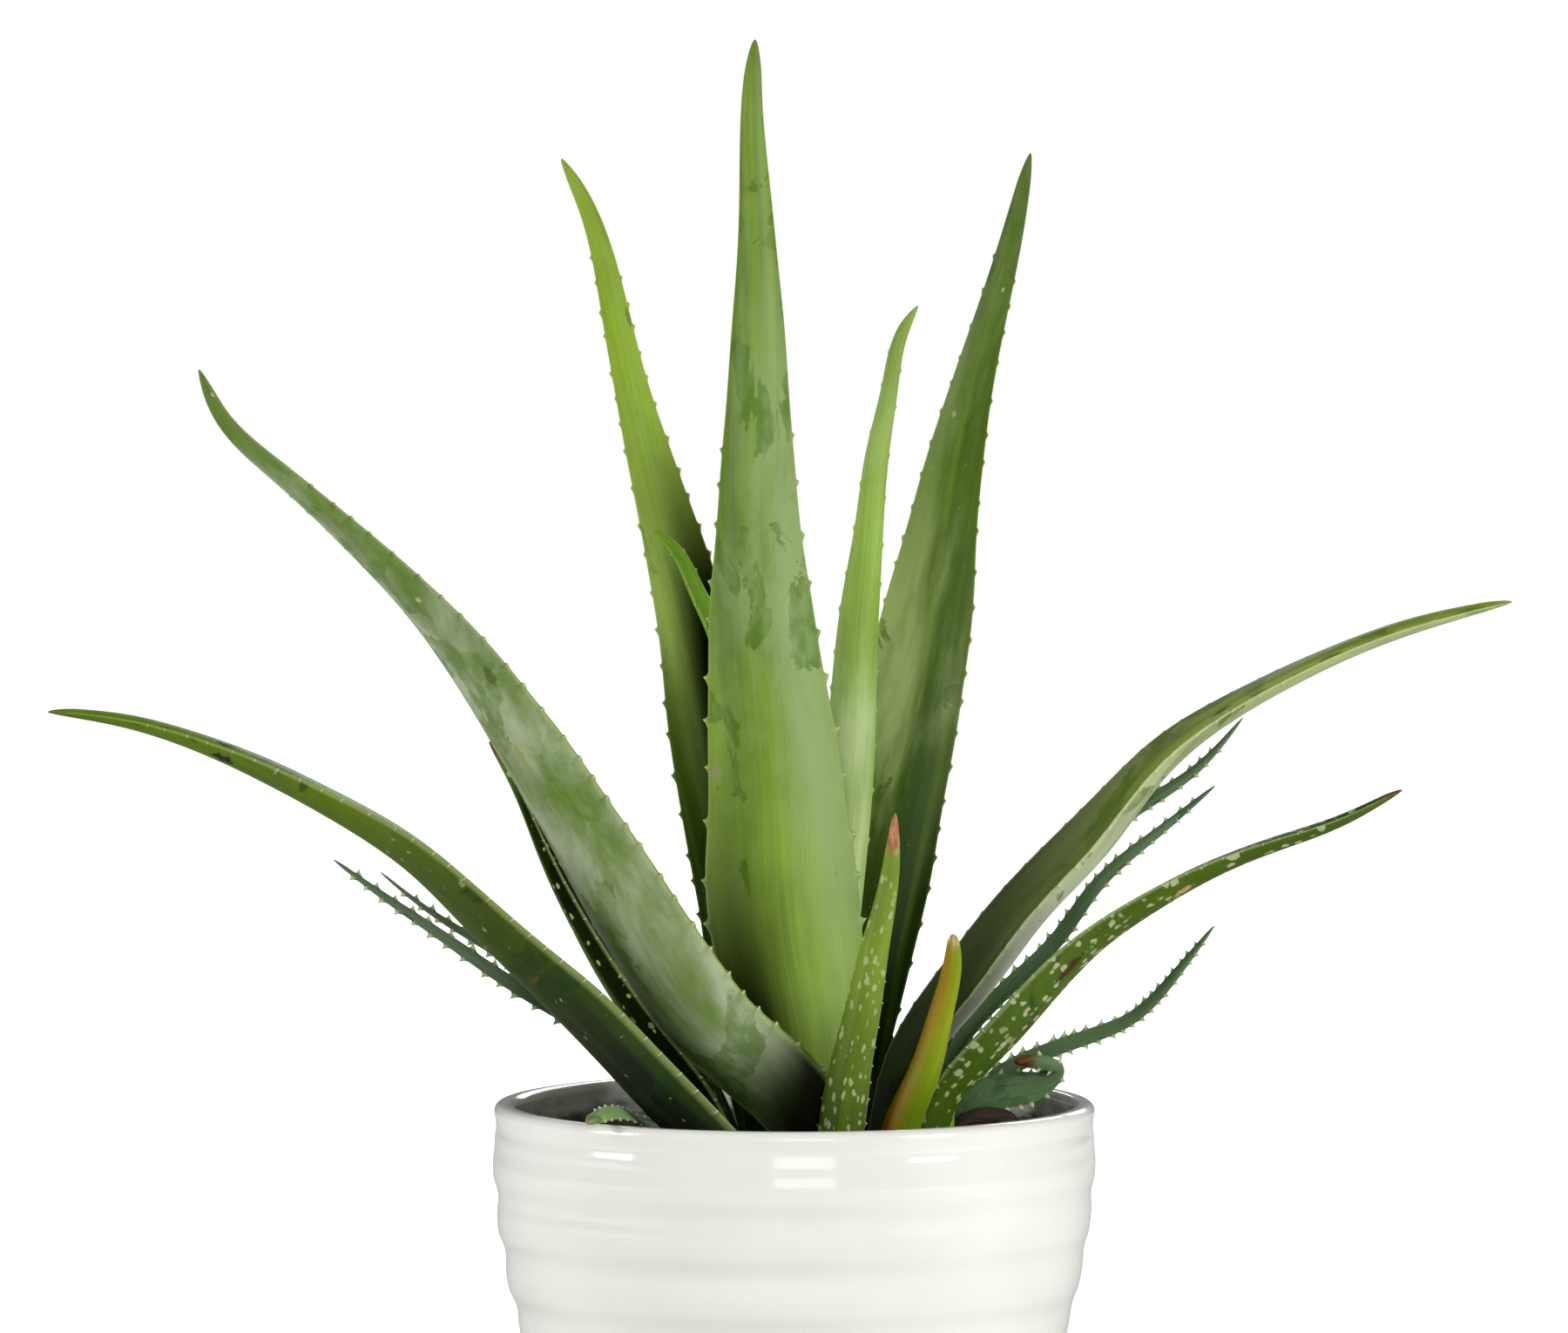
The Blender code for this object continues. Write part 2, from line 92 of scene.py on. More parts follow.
# Leaf section, as in the CAD source
TIP_THICKNESS = 0.7
TIP_UPPER_SHARE = 0.45
BASE_UPPER_SHARE = 0.06
EDGE_ROUNDNESS = 0.62
TIP_CAP = 0.035

# Rings in a fine leaf's tip and at each tooth (in the tooth's reaches), and the least mm between
TIP_RINGS = 14
TOOTH_RINGS = (-1.25, -0.8, -0.45, -0.2, 0, 0.12, 0.3, 0.75)
CLOSEST_RINGS = 0.12
RIPPLE = 0.05 * MM

# Camera: a long lens, a little above the rim
VIEW_DISTANCE = 5.0
VIEW_RISE = math.radians(5.8)
VIEW_PITCH = math.radians(4.14)
VIEW_YAW = math.radians(0.04)
LENS = 344.8

# Studio: what the background lends, and softboxes (at, size, power), all turned to the plant
FILL_LIGHT = 0.115
LIT_POINT = (0, 0, 0.25)
SOFTBOXES = {
    "left_softbox": ((-2.1, -0.65, 0.8), (0.7, 1.0), 30),
    "right_softbox": ((1.78, -1.29, 0.9), (0.75, 1.0), 37),
    "front_fill": ((0.2, -3.0, 0.7), (1.2, 1.2), 11),
    "back_softbox": ((0.4, 2.3, 1.3), (1.4, 1.2), 16),
}


def srgb(red, green, blue):
    """A linear colour from 0-255 display values."""
    found = []
    for value in (red, green, blue):
        share = value / 255
        found.append(share / 12.92 if share <= 0.04045 else ((share + 0.055) / 1.055) ** 2.4)
    return tuple(found)


# A leaf's sheen adds this much white in the studio light, so its colours start that much darker
SHEEN_LIFT = 0.020
SKIN_DEPTH = 0.84
SKIN_SPECULAR = 0.30
# Creases this close (m) between the leaves hold less light, down to this share
CREASE_DISTANCE = 0.022
CREASE_LIGHT = 0.15

PALE_TOOTH = srgb(222, 226, 184)

# Noise over a leaf: cells per mm across and along, its own layer, detail, roughness, distortion
SKIN_NOISE = dict(
    broad=(0.20, 0.003, 0.0), fine=(1.3, 0.015, 3.0, 3.0, 0.6), tone=(0.05, 0.02, 7.0, 3.0, 0.6),
    bloom=(0.05, 0.012, 11.0, 5.0, 0.62, 0.4), patch=(0.052, 0.030, 23.0, 5.0, 0.58, 0.6),
    streak=(0.3, 0.12, 31.0, 4.0, 0.6), warp=(0.6, 0.3, 41.0), tip=(0.7, 0.16, 80.0, 4.0, 0.65),
    dry=(0.8, 0.2, 85.0, 4.0, 0.6), pores=(2.2, 1.4, 90.0, 3.0, 0.6),
)
# Pale specks, dark specks and scratches: cells per mm across and along, layer, outer and inner
# edge, fewest, amount and colour
SKIN_FLECKS = [
    (0.22, 0.22, 60.0, 0.07, 0.03, 0.80, 0.5, srgb(196, 206, 170)),
    (0.16, 0.16, 70.0, 0.055, 0.03, 0.80, 0.7, srgb(34, 36, 16)),
    (0.75, 0.05, 65.0, 0.10, 0.03, 0.86, 0.35, srgb(186, 198, 156)),
]

GLAZE = srgb(243, 242, 235), srgb(247, 246, 240)
# The inner wall's dark, partly soil stain and partly painted shade
GLAZE_STAIN_AND_SHADE = srgb(46, 43, 35)
GLAZE_SPECK = srgb(92, 80, 62)
BARE_FOOT = srgb(206, 192, 172)
SOIL = srgb(18, 12, 8), srgb(48, 33, 22), srgb(92, 50, 30)
FIBRE = srgb(28, 19, 13), srgb(58, 38, 25), srgb(100, 68, 44)
STEM = srgb(150, 152, 104), srgb(190, 188, 138)
FLOOR_TONES = srgb(233, 233, 231), srgb(236, 236, 234)

# A look's colours are 0-255 display values, and its shares run from the leaf's base to its tip:
# base (and base_lower) up to base_to, the leaf's own colour there, darkened as painted shade on
# some leaves and lightened as painted light on others; waxy bloom from bloom_from to bloom_end,
# thicker towards the margin on bloom_to's side, which on centre_leaf also paints light on that
# side; patch where the bloom is rubbed off; spots from spot_from on, in spot_pitch cells per mm;
# the dry tip from tip_from; shade as (margin's sign, reach across, fully shaded up to, ends at,
# light left); scars as [(mm across, share along, half sizes in mm across and along, colour)].
# What a look holds unless its row says otherwise:
DEFAULT_LOOK = dict(
    bloom_to=0.0, bloom_from=0.01, bloom_end=2.0, spots=0.0, spot_from=0.0, spot_pitch=0.50,
    spot=(196, 206, 150), margin=(186, 204, 124), margin_amount=0.5, pale_from=(0.45, 0.95),
    tip_dark=(92, 66, 44), scars=(),
)

# Each leaf: the CAD's stations (x, y, z, width), thickness, channel and facing (one, or one at each
# end); then its teeth (spacing, height and reach of each in mm, and the shares of the leaf's length
# they run between), rings and columns of its mesh, and its look.
LEAVES = {}
LEAVES["centre_leaf"] = dict(
    stations=[
        (7, -14, -27, 26), (4, -19, 20, 42), (-3, -24, 60, 50), (-6, -27, 104, 46),
        (-10, -28, 150, 37), (-12, -28, 200, 27), (-12, -26, 254, 18), (-13, -24, 303, 10.5),
        (-14, -23, 334, 7), (-13, -22, 354, 4),
    ],
    thick=0.26, channel=0.10, faces=[(0, 1, 0.1)], slot="leaf_green",
    teeth=(18, 2.1, 3.2, 0.08, 0.66), mesh=(190, 30),
    look=dict(
        # Its bright base and its bloom towards the right margin (bloom_to) are partly painted light,
        # for the light from the right.
        upper=(112, 148, 62), lower=(108, 138, 56), base=(172, 208, 92), base_to=0.62,
        bloom=(166, 190, 128), bloom_amount=0.85, bloom_to=0.13, bloom_from=0.32, bloom_end=0.60,
        patch=(92, 128, 40), patch_from=0.612, stripe=(150, 182, 62), stripe_amount=0.42,
        spots=0.12, spot_pitch=0.4, shade=(-1, 1.3, 0.06, 0.44, 0.05),
        scars=[(-19.5, 0.37, 2.2, 2.6, (150, 150, 96))],
    ),
)
LEAVES["broad_left_leaf"] = dict(
    stations=[
        (14, -36, -27, 24), (-3, -40, 2, 35), (-28, -46, 26, 37), (-50, -54, 57, 35),
        (-71, -62, 93, 31), (-92, -71, 128, 25), (-114, -80, 160, 18), (-141, -92, 190, 12),
        (-170, -105, 217, 8), (-186, -111, 234, 6), (-193, -115, 250, 3),
    ],
    thick=0.34, channel=0.12, faces=[(0.5, 0.7, 0.5), (0.3, 0.8, 0.5)], slot="leaf_green",
    teeth=(11, 1.5, 2.4, 0.05, 0.86), mesh=(190, 30),
    look=dict(
        upper=(112, 146, 64), lower=(112, 138, 68), base=(148, 176, 100), base_to=0.45,
        bloom=(206, 216, 186), bloom_amount=0.9, bloom_to=-0.10, patch=(104, 136, 58),
        patch_from=0.54, stripe=(120, 146, 62), stripe_amount=0.4, spots=0.3, spot_from=0.62,
        shade=(1, 1.9, 0.06, 0.22, 0.06),
        scars=[(2, 0.52, 1.2, 4.5, (150, 158, 90)), (7, 0.60, 1.0, 5.0, (84, 96, 40))],
    ),
)
LEAVES["low_left_leaf"] = dict(
    stations=[
        (-8, -48, -27, 21), (-36, -57, 1, 28), (-66, -61, 33, 29), (-85, -64, 51, 26),
        (-104, -66, 69, 23), (-124, -68, 87, 20), (-147, -70, 102, 16.5), (-170, -72, 114, 13.5),
        (-193, -75, 124, 10), (-218, -77, 132, 7), (-244, -80, 136, 3),
    ],
    thick=0.52, channel=0.12, faces=[(0.6, 0.09, 0.8), (0.2, 0.01, 0.95)], slot="leaf_spotted",
    teeth=(9, 0.7, 1.3, 0.1, 0.9), mesh=(180, 28),
    look=dict(
        # The near-black base_lower of its lower face is painted shade.
        upper=(130, 166, 36), lower=(118, 146, 38), base=(84, 116, 24), base_to=0.95,
        base_lower=(34, 48, 20), bloom=(110, 130, 92), bloom_amount=0.25, bloom_to=-0.05,
        patch=(52, 72, 22), patch_from=0.61, stripe=(78, 106, 30), stripe_amount=0.4, spots=0.35,
        spot_from=0.12, spot_pitch=0.75, spot=(158, 172, 126), tip=(132, 104, 52), tip_from=0.985,
        scars=[
            (3.4, 0.80, 1.3, 4.0, (30, 24, 12)), (0.4, 0.785, 0.9, 9.0, (190, 160, 106)),
            (7.5, 0.37, 1.8, 0.9, (92, 70, 30)),
        ],
    ),
)
LEAVES["hidden_left_leaf"] = dict(
    stations=[
        (-17, -8, -27, 14), (-32, -13, 6, 21), (-48, -17, 27, 22), (-61, -19, 45, 20),
        (-72, -21, 64, 16), (-82, -22, 84, 12), (-92, -23, 106, 7), (-101, -24, 122, 3),
    ],
    thick=0.40, channel=0.12, faces=[(0.8, -0.1, 0.6)], slot="leaf_spotted",
    teeth=(9, 0.6, 1.2, 0.1, 0.9), mesh=(110, 24),
    look=dict(
        # Its near-black upper face (upper) and base are painted shadow from the leaves in front of
        # it.
        upper=(36, 58, 10), lower=(104, 134, 38), base=(10, 18, 4), base_to=0.8,
        base_lower=(60, 84, 22), bloom=(120, 140, 96), bloom_amount=0.15, patch=(56, 80, 24),
        patch_from=0.6, stripe=(90, 118, 34), stripe_amount=0.3, spots=0.5, spot_pitch=0.7,
        shade=(1, 0.8, 0.8, 1.0, 0.10), tip=(134, 104, 58), tip_from=0.96,
    ),
)
LEAVES["upright_left_leaf"] = dict(
    stations=[
        (-5, 24, -27, 24), (-10, 26, 15, 35), (-17, 29, 68, 39), (-27, 32, 112, 33),
        (-35, 35, 155, 26), (-45, 39, 196, 19), (-52, 42, 222, 14), (-60, 44, 258, 10),
        (-70, 47, 296, 6), (-78, 48, 312, 3),
    ],
    thick=0.26, channel=0.16, faces=[(0.35, -1, 0.1)], slot="leaf_green",
    teeth=(12, 1.7, 2.6, 0.08, 0.9), mesh=(180, 28),
    look=dict(
        # Its very dark base is painted shade.
        upper=(152, 184, 60), lower=(116, 148, 60), base=(40, 68, 4), base_to=0.85,
        bloom=(164, 188, 104), bloom_amount=0.35, bloom_to=0.05, patch=(104, 138, 30),
        patch_from=0.66, stripe=(152, 178, 66), stripe_amount=0.45, spots=0.15, spot_from=0.7,
        margin=(206, 218, 150), margin_amount=0.7, shade=(-1, 2.0, 0.47, 0.78, 0.02),
    ),
)
LEAVES["small_left_leaf"] = dict(
    stations=[
        (-5, 4, -27, 10), (-8, 4, 30, 15), (-12, 4, 62, 16), (-17, 4, 106, 14), (-21, 5, 135, 12),
        (-27, 5, 157, 10), (-33, 6, 169, 8), (-40, 6, 183, 6), (-47, 7, 190, 2.5),
    ],
    thick=0.34, channel=0.12, faces=[(1, -0.5, 0.3), (0.7, -0.6, 0.6)], slot="leaf_young",
    teeth=(11, 1.7, 2.2, 0.3, 0.97), mesh=(120, 24),
    look=dict(
        upper=(124, 176, 30), lower=(112, 162, 40), base=(110, 150, 50), base_to=0.3,
        bloom=(156, 192, 84), bloom_amount=0.3, patch=(96, 138, 34), patch_from=0.64,
        stripe=(144, 190, 50), stripe_amount=0.5, spots=0.12, spot_from=0.5,
    ),
)
LEAVES["young_right_leaf"] = dict(
    stations=[
        (15, -2, -27, 12), (13, -4, 30, 18), (14, -4, 55, 19), (19, -4, 105, 18),
        (20.5, -4, 130, 16.5), (22.5, -3, 163, 14), (25.5, -2, 192, 10.5), (28, -1, 215, 8.5),
        (32, 0, 238, 6), (36, 1, 256, 4.4), (41, 2, 265, 2.5),
    ],
    thick=0.34, channel=0.10, faces=[(-0.4, 1, 0.1)], slot="leaf_young",
    teeth=(16, 0.9, 2.0, 0.35, 0.95), mesh=(130, 24),
    look=dict(
        # Its very pale base is partly painted light, where strong light falls on it.
        upper=(140, 172, 66), lower=(156, 188, 88), base=(226, 246, 176), base_to=0.66,
        bloom=(208, 228, 168), bloom_amount=0.85, bloom_end=0.5, patch=(130, 166, 56),
        patch_from=0.70, stripe=(146, 184, 62), stripe_amount=0.5, spots=0.08, spot_from=0.7,
    ),
)
LEAVES["upright_right_leaf"] = dict(
    stations=[
        (12, 12, -27, 22), (19, 15, 26, 36), (24, 18, 53, 40), (35, 24, 106, 39),
        (46.5, 31, 161, 31), (52, 35, 196, 23), (57, 38, 222, 18), (63, 40, 247, 13),
        (74, 44, 290, 7), (79, 46, 314, 3),
    ],
    thick=0.26, channel=0.16, faces=[(-0.35, -1, 0.1)], slot="leaf_green",
    teeth=(13, 1.3, 2.4, 0.1, 0.9), mesh=(180, 28),
    look=dict(
        upper=(84, 112, 6), lower=(110, 138, 54), base=(48, 68, 10), base_to=0.55,
        bloom=(176, 196, 126), bloom_amount=0.9, bloom_to=0.16, bloom_end=0.46, patch=(84, 108, 28),
        patch_from=0.605, stripe=(124, 150, 48), stripe_amount=0.4, spots=0.35, spot_from=0.74,
        margin=(172, 192, 96),
    ),
)
LEAVES["broad_right_leaf"] = dict(
    stations=[
        (29, -16, -27, 17), (41, -17, 17, 27), (58, -18, 40, 35), (78, -21, 66, 35),
        (100, -24, 90, 32), (121, -28, 115, 24), (146, -32, 134, 17), (174, -37, 149, 12.5),
        (204, -42, 161, 9), (236, -48, 170, 3),
    ],
    thick=0.20, channel=0.14, faces=[(-0.5, -0.36, 0.8), (-0.2, -0.22, 1)], slot="leaf_green",
    teeth=(10, 1.0, 2.0, 0.08, 0.75), mesh=(190, 30),
    look=dict(
        # The near-black base of its upper face is painted shade.
        upper=(164, 190, 86), lower=(196, 212, 150), base=(36, 50, 2), base_to=0.68,
        base_lower=(232, 238, 218), bloom=(150, 160, 130), bloom_amount=0.4, bloom_to=0.12,
        patch=(98, 122, 52), patch_from=0.60, stripe=(74, 76, 50), stripe_amount=0.35, spots=0.35,
        spot_from=0.64, margin=(216, 226, 170), margin_amount=0.85,
        scars=[(-3.5, 0.66, 1.6, 3.4, (104, 62, 38)), (3, 0.60, 1.6, 6.0, (120, 112, 80))],
    ),
)
LEAVES["spotted_right_leaf"] = dict(
    stations=[
        (44, -38, -27, 13), (51, -42, 6, 17), (66, -46, 24, 20), (82, -50, 42, 20),
        (98, -54, 58, 17), (116, -58, 71, 14.5), (136, -62, 82, 11.5), (158, -66, 91, 9),
        (179, -70, 99, 6.5), (199, -74, 110, 2.5),
    ],
    thick=0.43, channel=0.12, faces=[(-0.5, 0.15, 0.8), (-0.2, 0.1, 1)], slot="leaf_spotted",
    teeth=(8, 0.5, 1.0, 0.1, 0.9), mesh=(170, 26),
    look=dict(
        upper=(60, 82, 16), lower=(88, 114, 36), base=(80, 106, 24), base_to=0.4,
        bloom=(118, 140, 84), bloom_amount=0.15, patch=(60, 82, 22), patch_from=0.62,
        stripe=(98, 122, 42), stripe_amount=0.3, spots=1.0, spot_pitch=0.66, spot=(206, 212, 160),
        margin=(190, 204, 140), tip=(140, 104, 62), tip_from=0.965,
        scars=[(-5.5, 0.43, 1.1, 7.0, (70, 40, 24)), (-3.2, 0.64, 0.9, 4.0, (190, 160, 106))],
    ),
)
LEAVES["spotted_front_leaf"] = dict(
    stations=[
        (11, -53, -27, 12), (15, -57, -4, 15), (18, -59, 16, 14), (22, -62, 35, 12.2),
        (26, -64, 56, 9.6), (30, -66, 74, 7), (32, -67, 88, 5), (33, -68, 102, 1.6),
    ],
    thick=0.5, channel=0.05, faces=[(0.1, 1, 0.1)], slot="leaf_spotted",
    teeth=(8, 0.8, 1.3, 0.15, 0.6), mesh=(130, 26),
    look=dict(
        upper=(104, 136, 34), lower=(138, 164, 60), base=(76, 102, 18), base_to=0.65,
        bloom=(150, 172, 100), bloom_amount=0.25, bloom_to=0.1, patch=(84, 110, 28),
        patch_from=0.64, stripe=(120, 150, 44), stripe_amount=0.35, spots=0.85, spot_pitch=0.62,
        tip=(214, 160, 124), tip_from=0.90, tip_dark=(168, 104, 70),
    ),
)
LEAVES["short_front_leaf"] = dict(
    stations=[
        (31, -52, -27, 11), (35, -55, -3, 12), (42, -58, 14, 10.8), (48, -61, 35, 8.2),
        (51, -63, 47, 6.8), (52, -65, 55, 5.4), (52, -66, 62, 3.2),
    ],
    thick=0.5, channel=0.04, faces=[(0.1, 1, 0.1)], slot="leaf_young",
    mesh=(100, 24),
    look=dict(
        upper=(150, 166, 24), lower=(156, 172, 24), base=(104, 142, 10), base_to=0.7,
        bloom=(178, 118, 26), bloom_amount=0.85, bloom_to=-0.22, patch=(130, 112, 20),
        patch_from=0.62, stripe=(150, 150, 22), stripe_amount=0.5, tip=(226, 204, 150),
        tip_from=0.955, tip_dark=(150, 100, 48),
    ),
)
LEAVES["leaf_sprout"] = dict(
    stations=[(50, -28, -27, 4), (50, -28, -14, 5), (51, -29, -5, 4.2), (52, -29, 2, 2)],
    thick=0.5, channel=0.04, faces=[(-0.2, 1, 0.1)], slot="leaf_young",
    mesh=(40, 18),
    look=dict(
        upper=(120, 164, 40), lower=(130, 176, 34), base=(150, 180, 80), base_to=0.5,
        bloom=(150, 184, 80), bloom_amount=0.2, patch=(100, 140, 34), patch_from=0.7,
        stripe=(140, 180, 60), stripe_amount=0.4,
    ),
)
LEAVES["low_right_leaf"] = dict(
    stations=[(42, -54, -25, 6), (56, -58, -8, 8), (66, -57, -4, 7), (77, -50, -3, 3)],
    thick=0.45, channel=0.04, faces=[(0, -0.1, 1)], slot="leaf_spotted",
    mesh=(60, 18),
    look=dict(
        upper=(84, 112, 40), lower=(84, 112, 40), base=(100, 120, 50), base_to=0.3,
        bloom=(118, 140, 84), bloom_amount=0.2, patch=(60, 82, 22), patch_from=0.62,
        stripe=(98, 122, 50), stripe_amount=0.3, spots=0.6,
    ),
)

TOOTHED_LOOK = dict(
    upper=(110, 138, 98), lower=(100, 128, 88), base=(70, 94, 64), base_to=0.4,
    bloom=(140, 160, 136), bloom_amount=0.35, patch=(78, 106, 74), patch_from=0.6,
    stripe=(106, 140, 84), stripe_amount=0.3, spots=0.2, spot_pitch=0.8,
    margin=(130, 160, 110), margin_amount=0.3, pale_from=(0.08, 0.45),
)
TOOTHED = {}
TOOTHED["toothed_left_long_leaf"] = dict(
    stations=[
        (-34, 8, -26, 7), (-48, 4, 8, 7.4), (-64, 0, 21, 7.4), (-92, -4, 38, 6.8),
        (-119, -8, 57, 5.2), (-136, -10, 69, 3.8), (-153, -12, 82, 1.3),
    ],
    faces=[(0.4, -0.9, 0.5)], teeth=(8.5, 3.4, 2.4, 0.2, 0.95),
)
TOOTHED["toothed_left_short_leaf"] = dict(
    stations=[
        (-32, 22, -26, 6), (-50, 17, 12, 6.6), (-70, 14, 30, 6), (-87, 12, 41, 5.2),
        (-108, 10, 54, 4), (-122, 9, 63, 2.8), (-138, 8, 76, 1.1),
    ],
    faces=[(0.4, -0.9, 0.5)], teeth=(8.5, 3.4, 2.4, 0.2, 0.95),
)
TOOTHED["toothed_stub_leaf"] = dict(
    stations=[
        (-33, -13, -26, 8), (-40, -28, -8, 9), (-49, -44, -3.5, 9), (-55, -60, 1, 8.6),
        (-61.5, -74, 3, 7.4), (-68, -86, 1.8, 4.8),
    ],
    thick=0.24, channel=0.10, faces=[(0.2, -0.5, 0.85), (0.2, -0.8, 0.6)],
    teeth=(5, 1.5, 1.4, 0.4, 0.93),
    look=dict(
        TOOTHED_LOOK, upper=(150, 188, 108), lower=(134, 172, 96), base=(120, 156, 88),
        bloom=(176, 200, 150), margin=(196, 214, 150), tip=(200, 150, 112), tip_from=0.985,
    ),
)
TOOTHED["toothed_right_top_leaf"] = dict(
    stations=[
        (46, 34, -26, 7), (58, 34, 36, 8), (78, 34, 62, 8), (100, 33, 84, 7.4), (120, 32, 98, 6.2),
        (134, 31, 108, 4.6), (150, 30, 126, 1.3),
    ],
    faces=[(-0.5, -0.9, 0.5)], teeth=(7, 2.8, 2.2, 0.2, 0.95),
)
TOOTHED["toothed_right_long_leaf"] = dict(
    stations=[
        (44, 12, -26, 7), (52, 12, 12, 8.8), (70, 11, 35, 9.6), (88, 10, 53, 9), (101, 9, 71, 8),
        (120, 8, 88, 5.8), (140, 7, 105, 1.6),
    ],
    faces=[(-0.5, -0.9, 0.5)], slim=0.66, teeth=(6, 2.8, 2.0, 0.2, 0.95),
)
TOOTHED["toothed_right_low_leaf"] = dict(
    stations=[
        (54, 18, -26, 6), (64, 17, 3, 7.6), (82, 15, 14, 7.6), (101, 13, 21, 7), (112, 12, 26, 6.2),
        (127, 11, 41, 4.8), (140, 10, 58, 1.3),
    ],
    faces=[(-0.3, -0.9, 0.5), (-0.6, -0.9, 0.4)], teeth=(5, 2.9, 1.9, 0.15, 0.95),
)
TOOTHED["toothed_right_folded_leaf"] = dict(
    stations=[
        (52, 0, -26, 8), (60, -2, 0, 11), (74, -3, 4, 12), (84, -4, 7, 8), (87.5, -5, 11, 5),
        (82, -6, 13.8, 4.8), (73, -7, 14, 2),
    ],
    thick=0.3, channel=0.08, slim=1.0, faces=[(-0.2, -0.8, 0.6), (-0.2, -0.8, 0.1)],
    teeth=(5, 2.6, 1.8, 0.3, 0.9),
    look=dict(TOOTHED_LOOK, base=(44, 66, 40), tip=(132, 92, 62), tip_from=0.90),
)
# Their CAD width takes in the teeth, so the blade between the teeth is slimmer
TOOTHED_SHAPE = dict(
    thick=0.4, channel=0.14, slim=0.78, slot="leaf_blue_green", mesh=(150, 16), look=TOOTHED_LOOK,
)
LEAVES.update({name: {**TOOTHED_SHAPE, **row} for name, row in TOOTHED.items()})

FIBRE_CLUMP = dict(
    stations=[(48, -14, -25, 10), (56, -15, -9, 14), (66, -15, -6, 13), (76, -14, -10, 8)],
    thick=0.7, channel=0.0, faces=[(0, 0, 1)], mesh=(40, 16),
)


# --- Shapes -----------------------------------------------------------------------------------


def spline(stations, alongs):
    """Points on a natural cubic spline through the stations, its unit tangents, its length in mm."""
    knots = np.array(stations, float)
    steps = np.linalg.norm(np.diff(knots[:, :3], axis=0), axis=1)
    places = np.concatenate([[0], np.cumsum(steps)])
    number = len(knots)
    system = np.eye(number)
    right = np.zeros_like(knots)
    for i in range(1, number - 1):
        system[i, i - 1 : i + 2] = steps[i - 1], 2 * (steps[i - 1] + steps[i]), steps[i]
        slope_after = (knots[i + 1] - knots[i]) / steps[i]
        slope_before = (knots[i] - knots[i - 1]) / steps[i - 1]
        right[i] = 6 * (slope_after - slope_before)
    bends = np.linalg.solve(system, right)
    found = []
    tangents = []
    for place in np.array(alongs) * places[-1]:
        i = min(int(np.searchsorted(places, place, side="right")) - 1, number - 2)
        before = place - places[i]
        after = places[i + 1] - place
        step = steps[i]
        from_start = knots[i] / step - bends[i] * step / 6
        from_end = knots[i + 1] / step - bends[i + 1] * step / 6
        found.append(
            (bends[i] * after**3 + bends[i + 1] * before**3) / (6 * step)
            + from_start * after
            + from_end * before
        )
        tangent = (bends[i + 1] * before**2 - bends[i] * after**2) / (2 * step)
        tangent = tangent - from_start + from_end
        tangents.append(tangent[:3] / np.linalg.norm(tangent[:3]))
    return np.array(found), np.array(tangents), places[-1]


def section(half_width, thickness, channel, upper_share, columns):
    """One leaf section as (across, up) pairs, upper side left to right, then lower side back.

    Also the share across (-1 to 1) and the side (1 upper, -1 lower, 0 at the margins) of each.
    """
    across = np.sin(np.linspace(-math.pi / 2, math.pi / 2, columns))
    belly = np.clip(1 - across**2, 0, None)
    margin_rise = channel * across**2
    upper = margin_rise + thickness * upper_share * belly
    lower = margin_rise - thickness * (1 - upper_share) * belly**EDGE_ROUNDNESS
    # The section is centred on its station, between the margins' height and the keel's
    middle = (channel - thickness * (1 - upper_share)) / 2
    top = np.column_stack([across * half_width, upper - middle])
    under = np.column_stack([across * half_width, lower - middle])
    side = np.ones(columns)
    side[0] = side[-1] = 0
    shares = np.concatenate([across, across[-2:0:-1]])
    sides = np.concatenate([side, -side[-2:0:-1]])
    return np.concatenate([top, under[-2:0:-1]]), shares, sides


def tooth_places(teeth, length, seed):
    """For each margin, the (place along in mm, height, reach) of its teeth."""
    if not teeth:
        return [], []
    spacing, height, reach, start, end = teeth
    rng = random.Random(seed)
    margins = []
    for _ in range(2):
        places = []
        place = start * length + spacing * rng.uniform(0.1, 0.9)
        while place < end * length:
            fade = 1 - 0.45 * (place / length - start) / (end - start)
            size = fade * rng.uniform(0.8, 1.15)
            places.append((place, height * size, reach * size))
            place += spacing * rng.uniform(0.75, 1.25) * (0.6 + 0.4 * fade)
        margins.append(places)
    return margins


def tooth_height(place, teeth):
    """How far a margin's teeth stand out there, and that as a share of the tooth's height."""
    best = (0.0, 0.0)
    for centre, height, reach in teeth:
        offset = (place - centre) / (reach * (1.25 if place < centre else 0.75))
        if abs(offset) < 1:
            share = (1 - abs(offset)) ** 1.8
            best = max(best, (height * share, share))
    return best


